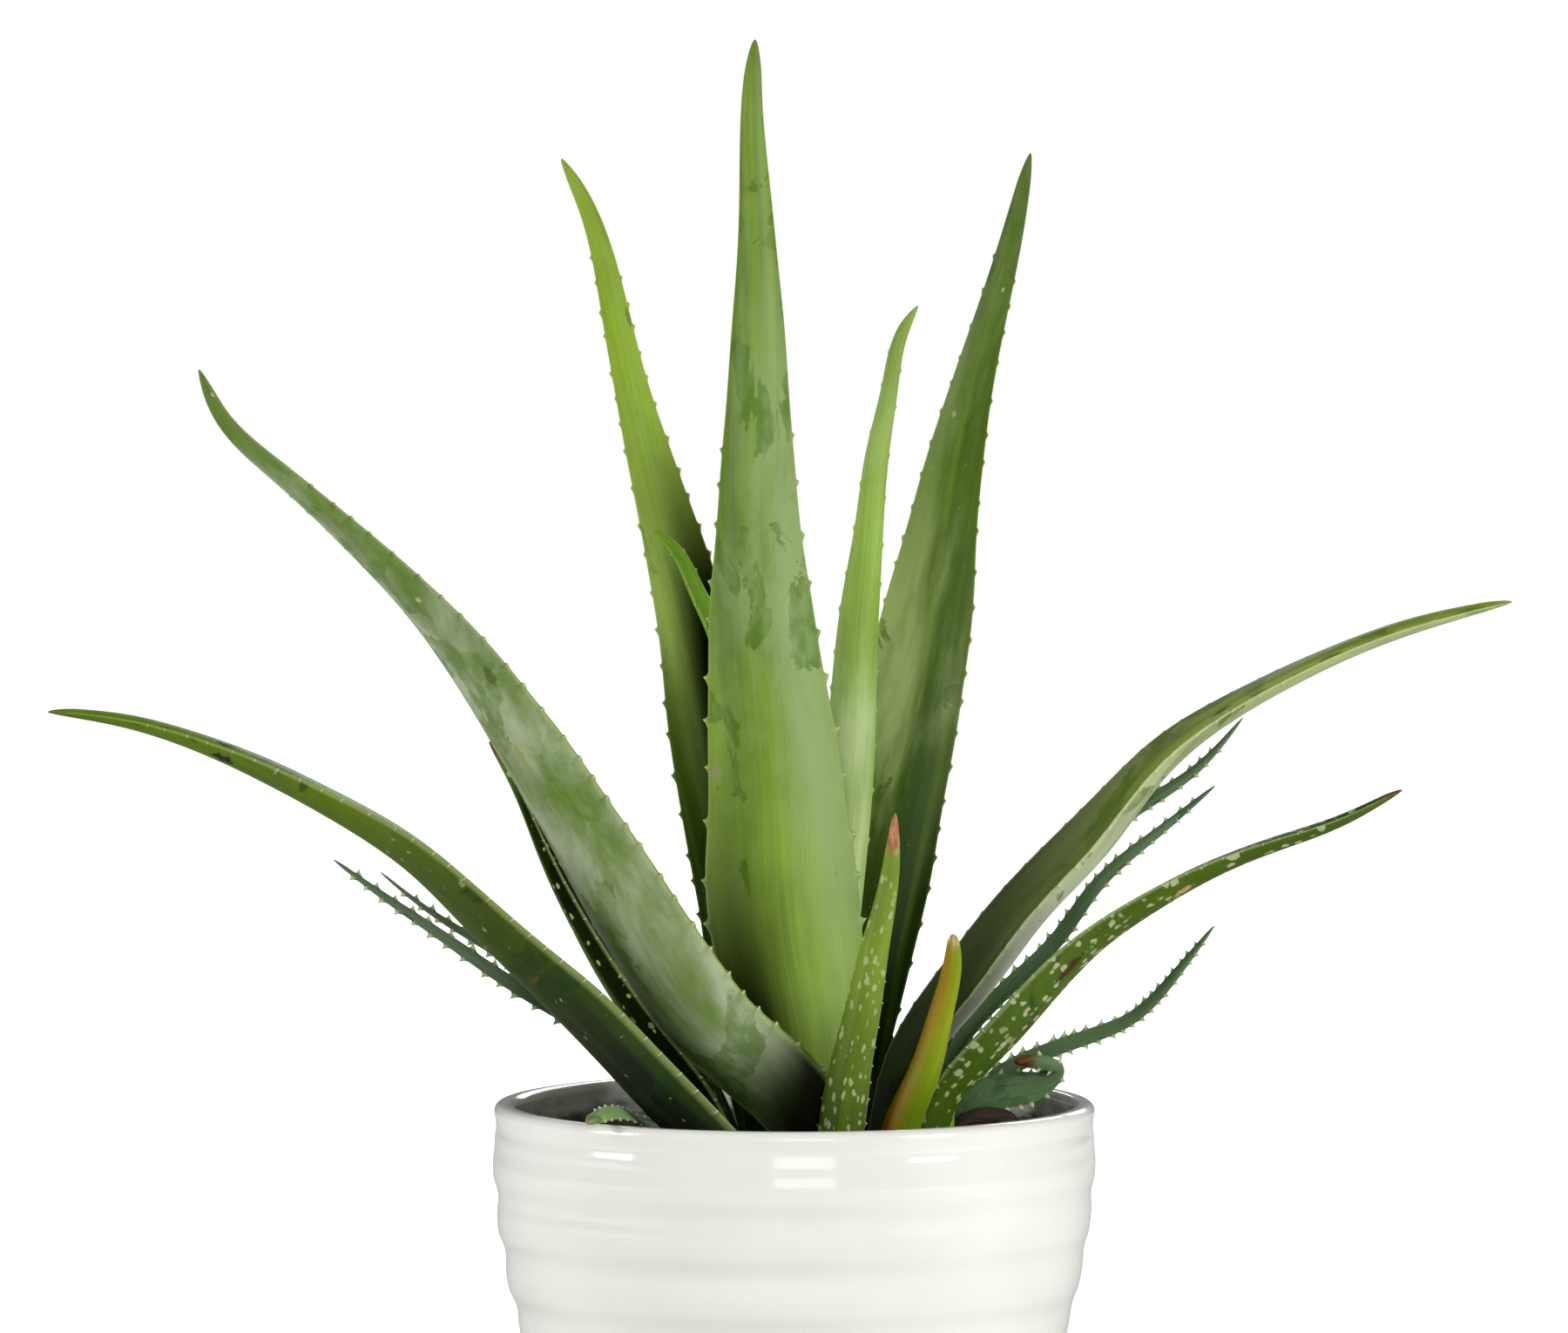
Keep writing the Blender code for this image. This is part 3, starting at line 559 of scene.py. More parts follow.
def add_leaf(name, leaf, seed):
    """A leaf's fine mesh: the CAD's loft with more rings, teeth, and coordinates for its skin."""
    rings, columns = leaf["mesh"]
    length = spline(leaf["stations"], [0])[2]
    margins = tooth_places(leaf.get("teeth"), length, seed)
    wanted = set(np.linspace(0, 1 - TIP_CAP, rings))
    wanted |= set(1 - TIP_CAP * np.linspace(1, 0, TIP_RINGS) ** 1.6)
    for places in margins:
        for centre, _, reach in places:
            wanted |= {(centre + offset * reach) / length for offset in TOOTH_RINGS}
    wanted = sorted(a for a in wanted if 0 <= a <= 1)
    alongs = [wanted[0]]
    for along in wanted[1:]:
        if (along - alongs[-1]) * length > CLOSEST_RINGS or along == 1:
            alongs.append(along)

    found, tangents, _ = spline(leaf["stations"], alongs)
    faces = np.array(leaf["faces"], float)
    rng = np.random.default_rng(seed)
    wave = rng.uniform(0, 2 * math.pi, 6)
    vertices = []
    in_mm = []
    in_shares = []
    for along, point, tangent in zip(alongs, found, tangents):
        cap = 1.0
        if along > 1 - TIP_CAP:
            cap = math.sqrt(max(0.0, 1 - ((along - 1 + TIP_CAP) / TIP_CAP) ** 2))
        place = along * length
        swell = 1 + 0.012 * math.sin(place / 17 + wave[0]) + 0.008 * math.sin(place / 7.3 + wave[1])
        width = max(point[3], 0.3) * MM * max(cap, 0.02) * swell * leaf.get("slim", 1.0)
        thickness = width * (leaf["thick"] + (TIP_THICKNESS - leaf["thick"]) * along**3)
        channel = width * leaf["channel"] * (1 - along**2)
        upper_share = BASE_UPPER_SHARE + (TIP_UPPER_SHARE - BASE_UPPER_SHARE) * along**2
        facing = faces[0] * (1 - along) + faces[-1] * along
        up = facing - tangent * facing.dot(tangent)
        up /= np.linalg.norm(up)
        side = np.cross(up, tangent)
        outline, shares, sides = section(width / 2, thickness, channel, upper_share, columns)
        centre = (point[:3] + (0.10 * math.sin(place / 11 + wave[2])) * up) * MM
        points = centre + outline[:, :1] * side + outline[:, 1:] * up
        # Long faint ridges over both sides
        ripple = RIPPLE * np.sin(shares * 9 + wave[3] + place / 60) * (1 - shares**2)
        points += (ripple * sides)[:, None] * up
        tooth = np.zeros(len(points))
        for sign, places in zip((-1, 1), margins):
            height, share = tooth_height(place, places)
            if height > 0:
                inside = (1 - shares * sign) * width / 2 / MM
                near = np.clip(1 - inside / 1.1, 0, 1) ** 1.6
                outwards = sign * side + 0.35 * tangent
                points += (near * height * MM)[:, None] * outwards
                tooth = np.maximum(tooth, near * share)
        vertices.append(points)
        in_mm.append(np.column_stack([shares * width / 2 / MM, np.full(len(points), place), sides]))
        in_shares.append(np.column_stack([shares, np.full(len(points), along), tooth]))

    def with_ends(rows):
        return np.concatenate(rows + [[rows[-1].mean(axis=0), rows[0].mean(axis=0)]])

    size = 2 * columns - 2
    count = len(vertices)
    last = (count - 1) * size
    polygons = quads(count, size)
    polygons += [(last + i, last + (i + 1) % size, count * size) for i in range(size)]
    polygons += [((i + 1) % size, i, count * size + 1) for i in range(size)]
    made = new_piece(name + "_fine", with_ends(vertices), polygons, Vector((0, 0, POT_HEIGHT)))
    add_values(made, "leaf_mm", with_ends(in_mm), "FLOAT_VECTOR")
    add_values(made, "leaf_share", with_ends(in_shares), "FLOAT_VECTOR")
    return made


def quads(rings, size):
    """Faces between one ring of points and the next."""
    around = [(i, (i + 1) % size) for i in range(size)]
    starts = [r * size for r in range(rings - 1)]
    return [(at + i, at + j, at + size + j, at + size + i) for at in starts for i, j in around]


def place_object(name, data, at=(0, 0, 0)):
    made = bpy.data.objects.new(name, data)
    bpy.context.scene.collection.objects.link(made)
    made.location = at
    return made


def new_piece(name, vertices, faces, at=(0, 0, 0)):
    """A mesh object with faces out."""
    mesh = bpy.data.meshes.new(name)
    mesh.from_pydata([tuple(v) for v in vertices], [], faces)
    shape = bmesh.new()
    shape.from_mesh(mesh)
    bmesh.ops.recalc_face_normals(shape, faces=shape.faces)
    shape.to_mesh(mesh)
    shape.free()
    mesh.shade_smooth()
    return place_object(name, mesh, at)


def add_values(item, name, values, kind="FLOAT"):
    """A value, or a vector, for each of the mesh's points, for its material to read."""
    attribute = item.data.attributes.new(name, kind, "POINT")
    key = "vector" if kind == "FLOAT_VECTOR" else "value"
    attribute.data.foreach_set(key, np.array(values, np.float32).ravel())


def bowl_radius(depth):
    """Outer radius of the pot without its ribs, at a depth below the rim."""
    if depth < SHOULDER_DEPTH:
        return RIM_RADIUS
    share = (depth - SHOULDER_DEPTH) / (POT_HEIGHT - SHOULDER_DEPTH)
    return RIM_RADIUS - (RIM_RADIUS - FOOT_RADIUS) * share**BOWL_POWER


def rib(depth):
    """How far the surface stands out: each rib swells slowly downwards, then turns in sharply."""
    turns = (depth - FIRST_RIB) / RIB_PITCH
    phase = turns - math.floor(turns)
    swell = 0.5 + 0.5 * math.cos(2 * math.pi * (1 - (1 - phase) ** 1.6))
    fade = min(1.0, max(0.0, (depth - 0.011) / 0.008))
    return RIB_HEIGHT * (swell - 0.5) * fade


def inner_radius(depth):
    """Inner radius of the pot's wall, which thickens downwards."""
    return bowl_radius(depth) - WALL - WALL_GROWTH * depth / POT_HEIGHT


def arc(radius, height, round_radius, start, end, count):
    """(radius, height) points on a small circle of the profile."""
    return [
        (radius + round_radius * math.cos(turn), height + round_radius * math.sin(turn))
        for turn in np.radians(np.linspace(start, end, count))
    ]


def add_pot():
    """The pot's turned profile, swept round with the small unevenness of hand throwing."""
    height = POT_HEIGHT - RIM_ROUND
    rim = arc(RIM_RADIUS - RIM_ROUND, height, RIM_ROUND, 95, -12, 12)
    inner_rim = arc(RIM_RADIUS - WALL + RIM_ROUND - GAP, height, RIM_ROUND, 180, 97, 9)
    profile = [(r, z, 0.0) for r, z in rim]
    depth = PROFILE_TOP
    while depth < POT_HEIGHT - 2 * FOOT_BEVEL:
        groove = RIM_GROOVE_DEPTH * math.exp(-(((depth - RIM_GROOVE_AT) / RIM_GROOVE_WIDTH) ** 2))
        profile.append((bowl_radius(depth) - groove, POT_HEIGHT - depth, rib(depth)))
        depth += PROFILE_STEP
    foot = FOOT_RADIUS - FOOT_BEVEL
    profile += [(r, z, 0.0) for r, z in arc(foot, FOOT_BEVEL, FOOT_BEVEL, 0, -90, 6)]
    profile += [(foot - 0.006, 0, 0.0), (foot - 0.0075, 0.0015, 0.0), (0.02, 0.002, 0.0)]
    outside = len(profile)
    inside = [(0.02, FLOOR), (FOOT_RADIUS - 0.022, FLOOR), (FOOT_RADIUS - 0.011, FLOOR + 0.003)]
    for depth in np.linspace(0.128, 0.0052, 60):
        inside.append((inner_radius(depth), POT_HEIGHT - depth))
    profile += [(r, z, 0.0) for r, z in inside + inner_rim]

    count = len(profile)
    vertices = []
    for s in range(POT_SEGMENTS):
        turn = 2 * math.pi * s / POT_SEGMENTS
        direction = Vector((math.cos(turn), math.sin(turn), 0))
        for i, (radius, z, stand) in enumerate(profile):
            wobble = tilt = 0.0
            if i < outside:
                stand *= 1 + 0.30 * math.sin(turn + 0.7 + z * 40)
                # The ribs run a little out of level, but not the rim and the foot
                tilt = THROWN_TILT * math.sin(turn - 0.6 + z * 25)
                tilt *= min(1, max(0, (POT_HEIGHT - 0.012 - z) / 0.02))
                tilt *= min(1, max(0, (z - 0.004) / 0.02))
                if z >= FOOT_BEVEL * 2:
                    spot = direction * 2.2 + Vector((0, 0, z * 60))
                    wobble = THROWN_WOBBLE * noise.noise(spot)
            vertices.append(direction * (radius + stand + wobble) + Vector((0, 0, z + tilt)))
    faces = []
    for s in range(POT_SEGMENTS):
        here = s * count
        there = (s + 1) % POT_SEGMENTS * count
        for i in range(count):
            j = (i + 1) % count
            if i == outside - 1:
                continue
            faces.append((here + i, there + i, there + j, here + j))
    below = len(vertices)
    vertices += [Vector((0, 0, 0.002)), Vector((0, 0, FLOOR))]
    for s in range(POT_SEGMENTS):
        here = s * count
        there = (s + 1) % POT_SEGMENTS * count
        faces.append((here + outside - 1, there + outside - 1, below))
        faces.append((here + outside, below + 1, there + outside))
    made = new_piece("pot_fine", vertices, faces)
    inner = [0.0] * outside + [1.0] * (count - outside)
    add_values(made, "inner", inner * POT_SEGMENTS + [0.0, 1.0])
    return made


def soil_relief(x, y):
    """Height of the soil's lumps at a place, in metres."""
    spot = Vector((x, y, 0.3))
    lumps = 0.0022 * noise.noise(spot * 45)
    clods = 0.0022 * (0.5 - abs(noise.noise(spot * 130)))
    grains = 0.0010 * noise.noise(spot * 420) + 0.0005 * noise.noise(spot * 900)
    return lumps + clods + grains


def soil_height(radius):
    share = radius / inner_radius(SOIL_DEPTH)
    return POT_HEIGHT - SOIL_DEPTH - SOIL_CROWN * share**2


def add_soil():
    """Lumpy soil with loose crumbs on it, closed below."""
    edge = inner_radius(SOIL_DEPTH) - 2 * GAP
    turns = [2 * math.pi * s / SOIL_SPOKES for s in range(SOIL_SPOKES)]
    vertices = [Vector((0, 0, soil_height(0)))]
    for r in range(1, SOIL_RINGS + 1):
        radius = edge * (r / SOIL_RINGS) ** 0.8
        for turn in turns:
            x = radius * math.cos(turn)
            y = radius * math.sin(turn)
            near_wall = min(1.0, (edge - radius) / 0.003)
            vertices.append(Vector((x, y, soil_height(radius) + soil_relief(x, y) * near_wall)))
    lower = [(inner_radius(d) - 3 * GAP, POT_HEIGHT - d) for d in SOIL_LOWER_DEPTHS]
    lower.append((FOOT_RADIUS - 0.024, FLOOR + GAP))
    for radius, z in lower:
        vertices += [Vector((radius * math.cos(t), radius * math.sin(t), z)) for t in turns]
    vertices.append(Vector((0, 0, FLOOR + GAP)))
    faces = [(0, 1 + s, 1 + (s + 1) % SOIL_SPOKES) for s in range(SOIL_SPOKES)]
    rings = SOIL_RINGS + len(lower)
    for r in range(rings - 1):
        low = 1 + r * SOIL_SPOKES
        for s in range(SOIL_SPOKES):
            t = (s + 1) % SOIL_SPOKES
            faces.append((low + s, low + SOIL_SPOKES + s, low + SOIL_SPOKES + t, low + t))
    low = 1 + (rings - 1) * SOIL_SPOKES
    faces += [(low + s, len(vertices) - 1, low + (s + 1) % SOIL_SPOKES) for s in range(SOIL_SPOKES)]
    tints = [0.0] * len(vertices)

    rng = random.Random(5)
    for _ in range(CRUMBS):
        radius = edge * 0.97 * math.sqrt(rng.random())
        turn = rng.uniform(0, 2 * math.pi)
        x = radius * math.cos(turn)
        y = radius * math.sin(turn)
        size = rng.uniform(0.0005, 0.0011) * (2.2 if rng.random() < 0.12 else 1)
        at = Vector((x, y, soil_height(radius) + soil_relief(x, y) + size * 0.4))
        tint = rng.uniform(0.1, 1)
        stretch = Vector((rng.uniform(0.7, 1.8), rng.uniform(0.7, 1.3), rng.uniform(0.5, 0.9)))
        turned = Matrix.Rotation(rng.uniform(0, 6.3), 3, "Z")
        turned = turned @ Matrix.Rotation(rng.uniform(-0.5, 0.5), 3, "X")
        shape = bmesh.new()
        bmesh.ops.create_icosphere(shape, subdivisions=1, radius=size)
        start = len(vertices)
        for v in shape.verts:
            dent = 1 + 0.3 * noise.noise(v.co * 900 + at * 200)
            vertices.append(at + turned @ Vector([c * s * dent for c, s in zip(v.co, stretch)]))
            tints.append(tint)
        faces += [tuple(start + v.index for v in f.verts) for f in shape.faces]
        shape.free()
    made = new_piece("potting_soil_fine", vertices, faces)
    add_values(made, "crumb", tints)
    return made


def tube(points, radii, sides=6):
    """Vertices and faces of a thin tube along the points, closed at both ends."""
    vertices = []
    for i, point in enumerate(points):
        before = points[max(i - 1, 0)]
        after = points[min(i + 1, len(points) - 1)]
        tangent = (after - before).normalized()
        one = tangent.orthogonal().normalized()
        two = tangent.cross(one)
        for s in range(sides):
            turn = 2 * math.pi * s / sides
            vertices.append(point + (one * math.cos(turn) + two * math.sin(turn)) * radii[i])
    ends = [tuple(range(sides))[::-1], tuple(range((len(points) - 1) * sides, len(points) * sides))]
    return vertices, quads(len(points), sides) + ends


def add_fibres():
    """The clump of old leaf bases: a rough body with dry fibres over it."""
    body = add_leaf("fibre_clump", FIBRE_CLUMP, 77)
    vertices = [v.co.copy() for v in body.data.vertices]
    faces = [tuple(f.vertices) for f in body.data.polygons]
    bpy.data.objects.remove(body)
    for v in vertices:
        v += v.normalized() * 0.0016 * noise.noise(v * 400)
    tints = [0.3] * len(vertices)
    rng = random.Random(9)
    found, tangents, _ = spline(FIBRE_CLUMP["stations"], np.linspace(0.3, 0.97, FIBRE_STEPS))
    for _ in range(FIBRES):
        start = rng.randrange(0, 7)
        turn = rng.uniform(-0.2, math.pi + 0.2)
        drift = rng.uniform(-0.5, 0.5)
        points = []
        lift = rng.uniform(0.92, 1.12)
        for k in range(start, min(start + rng.randrange(3, 6), FIBRE_STEPS)):
            centre = Vector(found[k][:3]) * MM
            tangent = Vector(tangents[k])
            side = tangent.cross(Vector((0, 0, 1))).normalized()
            up = side.cross(tangent)
            half = found[k][3] * MM / 2
            angle = turn + drift * (k - start) / 4
            outwards = side * math.cos(angle) + up * math.sin(angle) * 0.62
            points.append(centre + outwards * half * lift)
        radii = [rng.uniform(0.00018, 0.0004)] * len(points)
        radii[-1] *= 0.4
        tint = rng.uniform(0, 1)
        some, rest = tube(points, radii)
        faces += [tuple(len(vertices) + i for i in f) for f in rest]
        vertices += some
        tints += [tint] * len(some)
    made = new_piece("fibre_clump_fine", vertices, faces, Vector((0, 0, POT_HEIGHT)))
    add_values(made, "crumb", tints)
    return made


# --- Materials --------------------------------------------------------------------------------


class Recipe:
    """A material's node tree, with a short call for each kind of node."""

    def __init__(self, name):
        self.material = bpy.data.materials.new(name)
        self.material.use_nodes = True
        self.tree = self.material.node_tree
        self.shader = self.tree.nodes["Principled BSDF"]
        self.colour = None

    def put(self, socket, value):
        if isinstance(value, bpy.types.NodeSocket):
            self.tree.links.new(value, socket)
        elif isinstance(value, tuple) and len(value) == 3 and socket.type == "RGBA":
            socket.default_value = (*value, 1)
        else:
            socket.default_value = value

    def add(self, kind, **settings):
        made = self.tree.nodes.new(kind)
        for key, value in settings.items():
            setattr(made, key, value)
        return made

    def fill(self, sockets, values):
        for socket, value in zip(sockets, values):
            self.put(socket, value)

    def fill_named(self, node, **values):
        self.fill([node.inputs[name.replace("_", " ")] for name in values], values.values())

    def math(self, operation, one, two=0.0):
        made = self.add("ShaderNodeMath", operation=operation)
        self.fill(made.inputs, (one, two))
        return made.outputs[0]

    def times(self, *values):
        found = values[0]
        for value in values[1:]:
            found = self.math("MULTIPLY", found, value)
        return found

    def plus(self, one, two):
        return self.math("ADD", one, two)

    def minus(self, one, two):
        return self.math("SUBTRACT", one, two)

    def swing(self, value, amount):
        """A share from 0 to 1, turned into as much either side of zero."""
        return self.times(self.minus(value, 0.5), amount)

    def long(self, one, two):
        return self.math("SQRT", self.plus(self.times(one, one), self.times(two, two)))

    def band(self, value, start, end, low=0.0, high=1.0):
        """Goes smoothly from low to high as value goes from start to end."""
        made = self.add("ShaderNodeMapRange", interpolation_type="SMOOTHSTEP")
        self.fill(made.inputs[:5], (value, start, end, low, high))
        return made.outputs[0]

    def mix(self, share, one, two, blend="MIX"):
        made = self.add("ShaderNodeMix", data_type="RGBA", blend_type=blend)
        self.fill((made.inputs[0], *made.inputs[6:8]), (share, one, two))
        return made.outputs[2]

    def paint(self, share, colour):
        """Another colour over the one so far, by that share."""
        self.colour = self.mix(share, self.colour, colour)

    def dim(self, factor):
        grey = self.vector(factor, factor, factor)
        self.colour = self.mix(1.0, self.colour, grey, "MULTIPLY")

    def vector(self, x, y, z=0.0):
        made = self.add("ShaderNodeCombineXYZ")
        self.fill(made.inputs, (x, y, z))
        return made.outputs[0]

    def split(self, vector):
        made = self.add("ShaderNodeSeparateXYZ")
        self.put(made.inputs[0], vector)
        return made.outputs[:3]

    def attribute(self, name, output="Vector"):
        return self.add("ShaderNodeAttribute", attribute_name=name).outputs[output]

    def position(self):
        return self.add("ShaderNodeNewGeometry").outputs["Position"]

    def noise(self, vector, scale, detail=2.0, roughness=0.5, distortion=0.0):
        made = self.add("ShaderNodeTexNoise")
        self.fill_named(made, Vector=vector, Scale=scale, Detail=detail)
        self.fill_named(made, Roughness=roughness, Distortion=distortion)
        return made.outputs[0]

    def cells(self, vector, scale=1.0, randomness=1.0):
        """Distance to the nearest cell's centre, and a random share for that cell."""
        made = self.add("ShaderNodeTexVoronoi", feature="F1")
        self.fill_named(made, Vector=vector, Scale=scale, Randomness=randomness)
        return made.outputs["Distance"], self.split(made.outputs["Color"])[0]

    def flecks(self, vector, outer, inner, fewest, amount):
        """Small marks, one in some of the cells, whose chance is above fewest."""
        distance, chance = self.cells(vector)
        found = self.band(distance, outer, inner)
        return self.times(found, self.band(chance, fewest, fewest + 0.02), amount)

    def bump(self, height, distance, under=None):
        made = self.add("ShaderNodeBump")
        self.fill_named(made, Height=height, Distance=distance, Strength=1.0)
        if under is not None:
            self.put(made.inputs["Normal"], under)
        return made.outputs[0]

    def finish(self, roughness, normal=None, **fixed):
        self.fill_named(self.shader, Base_Color=self.colour, Roughness=roughness, **fixed)
        if normal is not None:
            self.put(self.shader.inputs["Normal"], normal)
        return self.material


def leaf_material(name, look, seed):
    """Leaf skin: stripes, waxy bloom, rubbed patches, spots, margins, teeth, marks and tip."""
    r = Recipe(name + "_skin")
    across_mm, along_mm, side = r.split(r.attribute("leaf_mm"))
    across, along, tooth = r.split(r.attribute("leaf_share"))
    edge = r.math("ABSOLUTE", across)
    look = dict(DEFAULT_LOOK, **look)
    for key, value in look.items():
        if isinstance(value, tuple) and len(value) == 3:
            look[key] = tuple(max(c * SKIN_DEPTH - SHEEN_LIFT, 0.002) for c in srgb(*value))
    layer = r.plus(r.times(side, 4.0), seed * 7.3)

    def stretched(across_scale, along_scale, offset):
        x = r.times(across_mm, across_scale)
        return r.vector(x, r.times(along_mm, along_scale), r.plus(layer, offset))

    def grain(name):
        across_scale, along_scale, offset, *rest = SKIN_NOISE[name]
        return r.noise(stretched(across_scale, along_scale, offset), 1.0, *rest)

    upper_side = r.band(side, -0.3, 0.3)
    r.colour = r.mix(upper_side, look["lower"], look["upper"])

    # Towards the base the leaf is paler or duller; some leaves' base colours are also darkened as
    # painted shade, others lightened as painted light
    base = r.mix(upper_side, look.get("base_lower", look["base"]), look["base"])
    r.paint(r.band(along, look["base_to"], look["base_to"] * 0.15), base)

    # Lengthwise stripes, broad and fine, and a soft change of tone from place to place
    broad = r.band(grain("broad"), 0.42, 0.66)
    r.paint(r.times(broad, look["stripe_amount"]), look["stripe"])
    fine = grain("fine")
    r.dim(r.band(fine, 0.3, 0.7, 0.90, 1.09))
    r.dim(r.band(grain("tone"), 0.3, 0.7, 0.84, 1.14))

    # Waxy bloom, in long soft smears, thicker towards one margin; on centre_leaf that pale margin
    # also paints the light on its right side
    smear = r.plus(grain("bloom"), r.times(across, look["bloom_to"]))
    bloom = r.band(smear, 0.36, 0.70, 0.0, look["bloom_amount"])
    bloom = r.times(bloom, r.band(along, look["bloom_from"] * 0.2, look["bloom_from"], 0.25, 1.0))
    bloom = r.times(bloom, r.band(along, look["bloom_end"], look["bloom_end"] + 0.25, 1.0, 0.3))
    r.paint(bloom, look["bloom"])

    # Patches where the bloom is rubbed off, with crisp broken outlines, most near the margins
    place = r.plus(grain("patch"), r.times(r.band(edge, 0.35, 1.0), 0.045))
    rubbed = r.band(place, look["patch_from"], look["patch_from"] + 0.014)
    rubbed = r.times(rubbed, r.band(along, look["bloom_from"] * 0.6, look["bloom_from"]))
    rubbed = r.times(rubbed, r.band(grain("streak"), 0.36, 0.62, 0.30, 0.72))
    r.paint(rubbed, look["patch"])

    # Shade along one margin, where a neighbour keeps the light off
    lit = 1.0
    if "shade" in look:
        sign, reach, start, end, left = look["shade"]
        beside = r.band(r.times(across, sign), 1 - reach, 1 - reach * 0.2)
        lit = r.band(r.times(beside, r.band(along, end, start)), 0.0, 0.85, 1.0, left)
        r.dim(lit)

    # Pale spots, drawn out along the leaf
    if look["spots"]:
        warp = r.swing(grain("warp"), 1.2)
        spot_at = r.vector(
            r.plus(r.times(across_mm, look["spot_pitch"]), warp),
            r.times(along_mm, look["spot_pitch"] * 0.40), r.plus(layer, 50.0),
        )
        distance, chance = r.cells(spot_at, 1.0, 0.9)
        size = r.band(chance, 1 - look["spots"], 1.4 - 0.7 * look["spots"], 0.0, 0.40)
        spotted = r.band(r.minus(size, distance), -0.05, 0.08)
        banding = r.noise(r.vector(0.0, r.times(along_mm, 0.07), seed * 3.1), 1.0)
        spotted = r.times(spotted, r.band(banding, 0.3, 0.5, 0.45, 1.0), 0.85)
        if look["spot_from"]:
            starts = look["spot_from"]
            spotted = r.times(spotted, r.band(along, starts - 0.1, starts + 0.1))
        r.paint(spotted, look["spot"])

    # A pale margin, pale teeth, and a few specks and scratches
    margin = r.band(edge, 0.955, 0.995)
    r.paint(r.times(margin, look["margin_amount"]), look["margin"])
    r.paint(r.band(tooth, *look["pale_from"], 0.0, 0.92), PALE_TOOTH)
    for across_scale, along_scale, offset, *size, fleck in SKIN_FLECKS:
        r.paint(r.flecks(stretched(across_scale, along_scale, offset), *size), fleck)

    # Scars are ragged ellipses
    for number, (at_across, at_along, half_across, half_along, scar) in enumerate(look["scars"]):
        ragged = r.noise(stretched(0.9, 0.5, 100.0 + number), 1.0, 4.0, 0.7)
        one = r.times(r.minus(across_mm, at_across), 1 / half_across)
        two = r.times(r.minus(along, at_along), look["length"] / half_along)
        inside = r.band(r.plus(r.long(one, two), r.swing(ragged, 2.4)), 1.0, 0.75)
        r.paint(r.times(inside, 0.92), srgb(*scar))

    if "tip" in look:
        ragged = r.swing(grain("tip"), 0.09)
        at_tip = r.band(r.plus(along, ragged), look["tip_from"] - 0.02, look["tip_from"] + 0.035)
        dry = r.band(grain("dry"), 0.35, 0.65)
        r.paint(at_tip, r.mix(dry, look["tip"], look["tip_dark"]))

    # Creases between the leaves hold less light
    hollow = r.add("ShaderNodeAmbientOcclusion", samples=6)
    r.put(hollow.inputs["Distance"], CREASE_DISTANCE)
    open_share = r.band(hollow.outputs["AO"], 0.0, 0.6, CREASE_LIGHT, 1.0)
    r.dim(open_share)
    r.put(r.shader.inputs["Specular IOR Level"], r.times(open_share, lit, SKIN_SPECULAR))

    roughness = r.band(rubbed, 0.0, 1.0, 0.50, 0.40)
    roughness = r.plus(roughness, r.swing(fine, 0.12))
    normal = r.bump(grain("pores"), 0.00008, r.bump(fine, 0.00010))
    return r.finish(
        roughness, normal, IOR=1.40,
        Subsurface_Weight=0.05, Subsurface_Scale=0.003, Subsurface_Radius=(0.6, 1.0, 0.2),
    )


def glaze_material():
    """Off-white gloss glaze, faintly uneven, with dark specks, and its inner wall darkened below the
    rim, partly as soil stain and partly as painted shade.
    """
    r = Recipe("white_glaze_fine")
    at = r.position()
    x, y, z = r.split(at)
    cloud = r.noise(at, 18.0, 3.0)
    r.colour = r.mix(r.band(cloud, 0.35, 0.65), *GLAZE)
    # Inside, below the rim and darker further down: partly soil stain, partly painted shade in the
    # pot's hollow
    inside = r.times(r.attribute("inner", "Fac"), r.band(z, POT_HEIGHT - 0.001, POT_HEIGHT - 0.006))
    stain_and_shade_noise = r.noise(r.vector(r.times(x, 60.0), r.times(y, 60.0), r.times(z, 160.0)), 1.0, 5.0, 0.65)
    low = r.band(z, POT_HEIGHT - 0.004, POT_HEIGHT - 0.020)
    stain_and_shade = r.times(inside, r.band(r.plus(stain_and_shade_noise, r.times(low, 0.6)), 0.42, 0.95, 0.0, 0.92))
    r.paint(stain_and_shade, GLAZE_STAIN_AND_SHADE)
    distance, chance = r.cells(at, 90.0)
    speck = r.times(r.band(distance, 0.045, 0.02), r.band(chance, 0.94, 0.95), 0.8)
    r.paint(speck, GLAZE_SPECK)
    under = r.band(z, 0.0022, 0.0008)
    r.paint(under, BARE_FOOT)
    roughness = r.plus(r.band(cloud, 0.3, 0.7, 0.10, 0.16), r.times(r.plus(stain_and_shade, under), 0.35))
    normal = r.bump(r.noise(at, 70.0, 2.0), 0.00010)
    gloss = r.minus(1.0, stain_and_shade)
    r.put(r.shader.inputs["Coat Weight"], r.times(gloss, 0.5))
    r.put(r.shader.inputs["Specular IOR Level"], r.times(gloss, 0.5))
    return r.finish(roughness, normal, Coat_Roughness=0.05, IOR=1.5)


def soil_material(name, dark, light, red):
    """Damp soil or dry fibre: each crumb its own brown, with a rough grain."""
    r = Recipe(name)
    at = r.position()
    crumb = r.attribute("crumb", "Fac")
    grain = r.noise(at, 700.0, 5.0, 0.7)
    clods = r.noise(at, 120.0, 4.0, 0.6)
    r.colour = r.mix(r.band(clods, 0.35, 0.7), dark, light)
    r.paint(r.times(r.band(crumb, 0.1, 1.0), 0.85), red)
    r.dim(r.band(grain, 0.3, 0.7, 0.45, 1.5))
    return r.finish(r.band(grain, 0.3, 0.7, 0.95, 0.78), r.bump(grain, 0.0006))


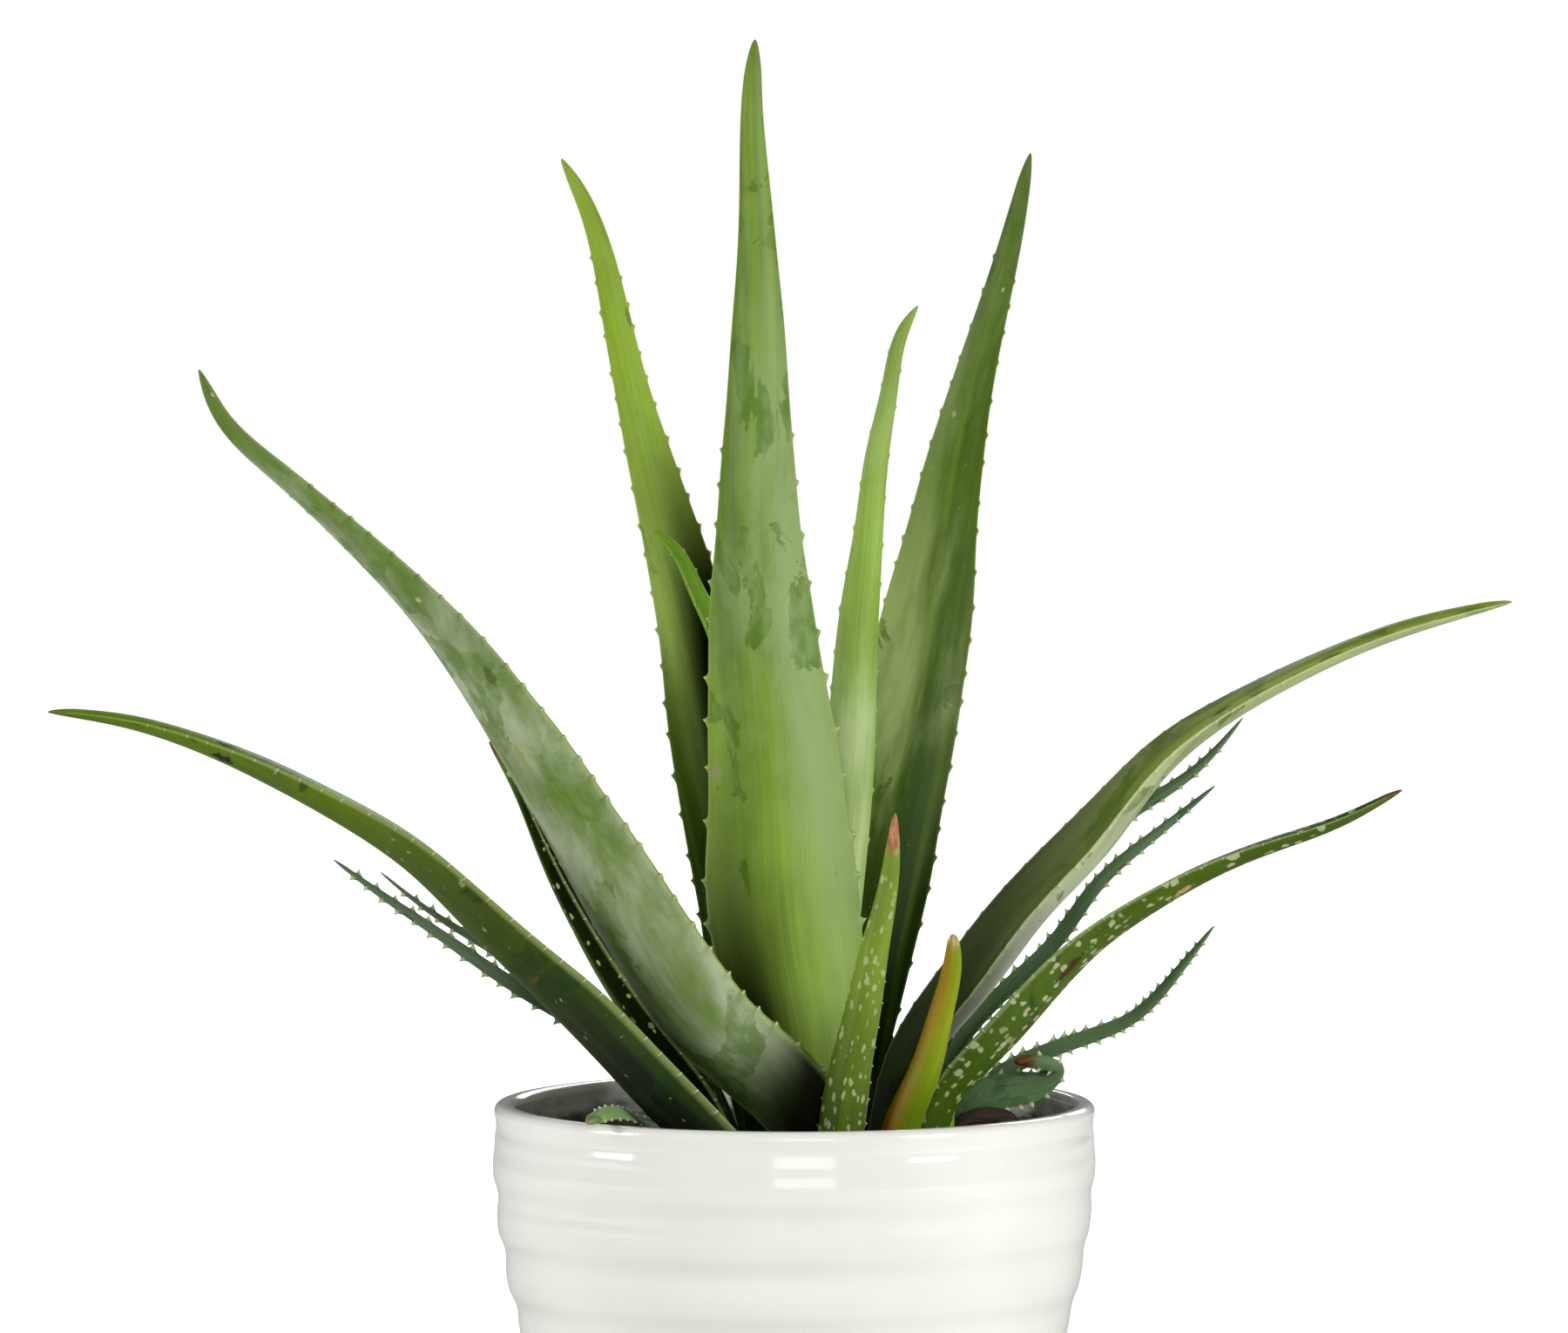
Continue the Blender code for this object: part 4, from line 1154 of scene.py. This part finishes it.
def stem_material():
    r = Recipe("stem_pale_fine")
    x, y, z = r.split(r.position())
    fibre = r.noise(r.vector(r.times(x, 900.0), r.times(y, 900.0), r.times(z, 40.0)), 1.0, 3.0)
    r.colour = r.mix(fibre, *STEM)
    return r.finish(r.band(fibre, 0.3, 0.7, 0.5, 0.7), r.bump(fibre, 0.0002))


# --- Stage ------------------------------------------------------------------------------------


def add_floor():
    mesh = bpy.data.meshes.new("floor")
    shape = bmesh.new()
    bmesh.ops.create_circle(shape, cap_ends=True, segments=96, radius=6.0)
    shape.to_mesh(mesh)
    shape.free()
    r = Recipe("pale_floor")
    tone = r.noise(r.position(), 3.0, 2.0)
    r.colour = r.mix(tone, *FLOOR_TONES)
    x, y, _ = r.split(r.position())
    # The floor glows more the further out it is, so that it runs into the white background
    seen = r.add("ShaderNodeLightPath").outputs["Is Camera Ray"]
    glow = r.times(r.band(r.long(x, y), 0.2, 1.2, 0.45, 1.0), seen)
    r.put(r.shader.inputs["Emission Color"], r.vector(glow, glow, glow))
    mesh.materials.append(r.finish(0.9, Emission_Strength=1.0, IOR=1.2))
    place_object("floor", mesh)


def add_softbox(name, at, size, power):
    data = bpy.data.lights.new(name, "AREA")
    data.shape = "RECTANGLE"
    data.size, data.size_y = size
    data.energy = power
    made = place_object(name, data, at)
    made.rotation_euler = (Vector(at) - Vector(LIT_POINT)).to_track_quat("Z", "Y").to_euler()
    made.visible_camera = False


def add_world():
    world = bpy.data.worlds.new("studio")
    bpy.context.scene.world = world
    world.use_nodes = True
    tree = world.node_tree
    fill = tree.nodes["Background"]
    seen = tree.nodes.new("ShaderNodeBackground")
    for background, strength in ((fill, FILL_LIGHT), (seen, 1.0)):
        background.inputs["Color"].default_value = (1, 1, 1, 1)
        background.inputs["Strength"].default_value = strength
    path = tree.nodes.new("ShaderNodeLightPath")
    mix = tree.nodes.new("ShaderNodeMixShader")
    tree.links.new(path.outputs["Is Camera Ray"], mix.inputs[0])
    tree.links.new(fill.outputs[0], mix.inputs[1])
    tree.links.new(seen.outputs[0], mix.inputs[2])
    tree.links.new(mix.outputs[0], tree.nodes["World Output"].inputs["Surface"])


def add_camera():
    data = bpy.data.cameras.new("camera")
    data.lens = LENS
    data.clip_start = 0.05
    data.clip_end = 100
    rise = Vector((0, -math.cos(VIEW_RISE), math.sin(VIEW_RISE)))
    made = place_object("camera", data, Vector((0, 0, POT_HEIGHT)) + rise * VIEW_DISTANCE)
    made.rotation_euler = (math.pi / 2 - VIEW_PITCH, 0, VIEW_YAW)
    bpy.context.scene.camera = made


def main():
    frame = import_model()
    add_camera()
    add_world()
    add_floor()
    bpy.context.scene.view_settings.view_transform = "Standard"
    for name, box in SOFTBOXES.items():
        add_softbox(name, *box)

    pieces = [
        (add_pot(), "pot", "white_glaze", glaze_material()),
        (add_soil(), "potting_soil", "soil_dark", soil_material("soil_dark_fine", *SOIL)),
        (add_fibres(), "fibre_clump", "dry_fibre", soil_material("dry_fibre_fine", *FIBRE)),
    ]
    for seed, (name, leaf) in enumerate(LEAVES.items(), start=1):
        length = spline(leaf["stations"], [0])[2]
        skin = leaf_material(name, dict(leaf["look"], length=length), seed)
        pieces.append((add_leaf(name, leaf, seed), name, leaf["slot"], skin))
    for piece, node, slot, skin in pieces:
        piece.data.materials.append(skin)
        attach(piece, "root")
        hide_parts(node)
    stem = frame["nodes"]["main_stem"]
    stem.material_slots[0].material = stem_material()


main()
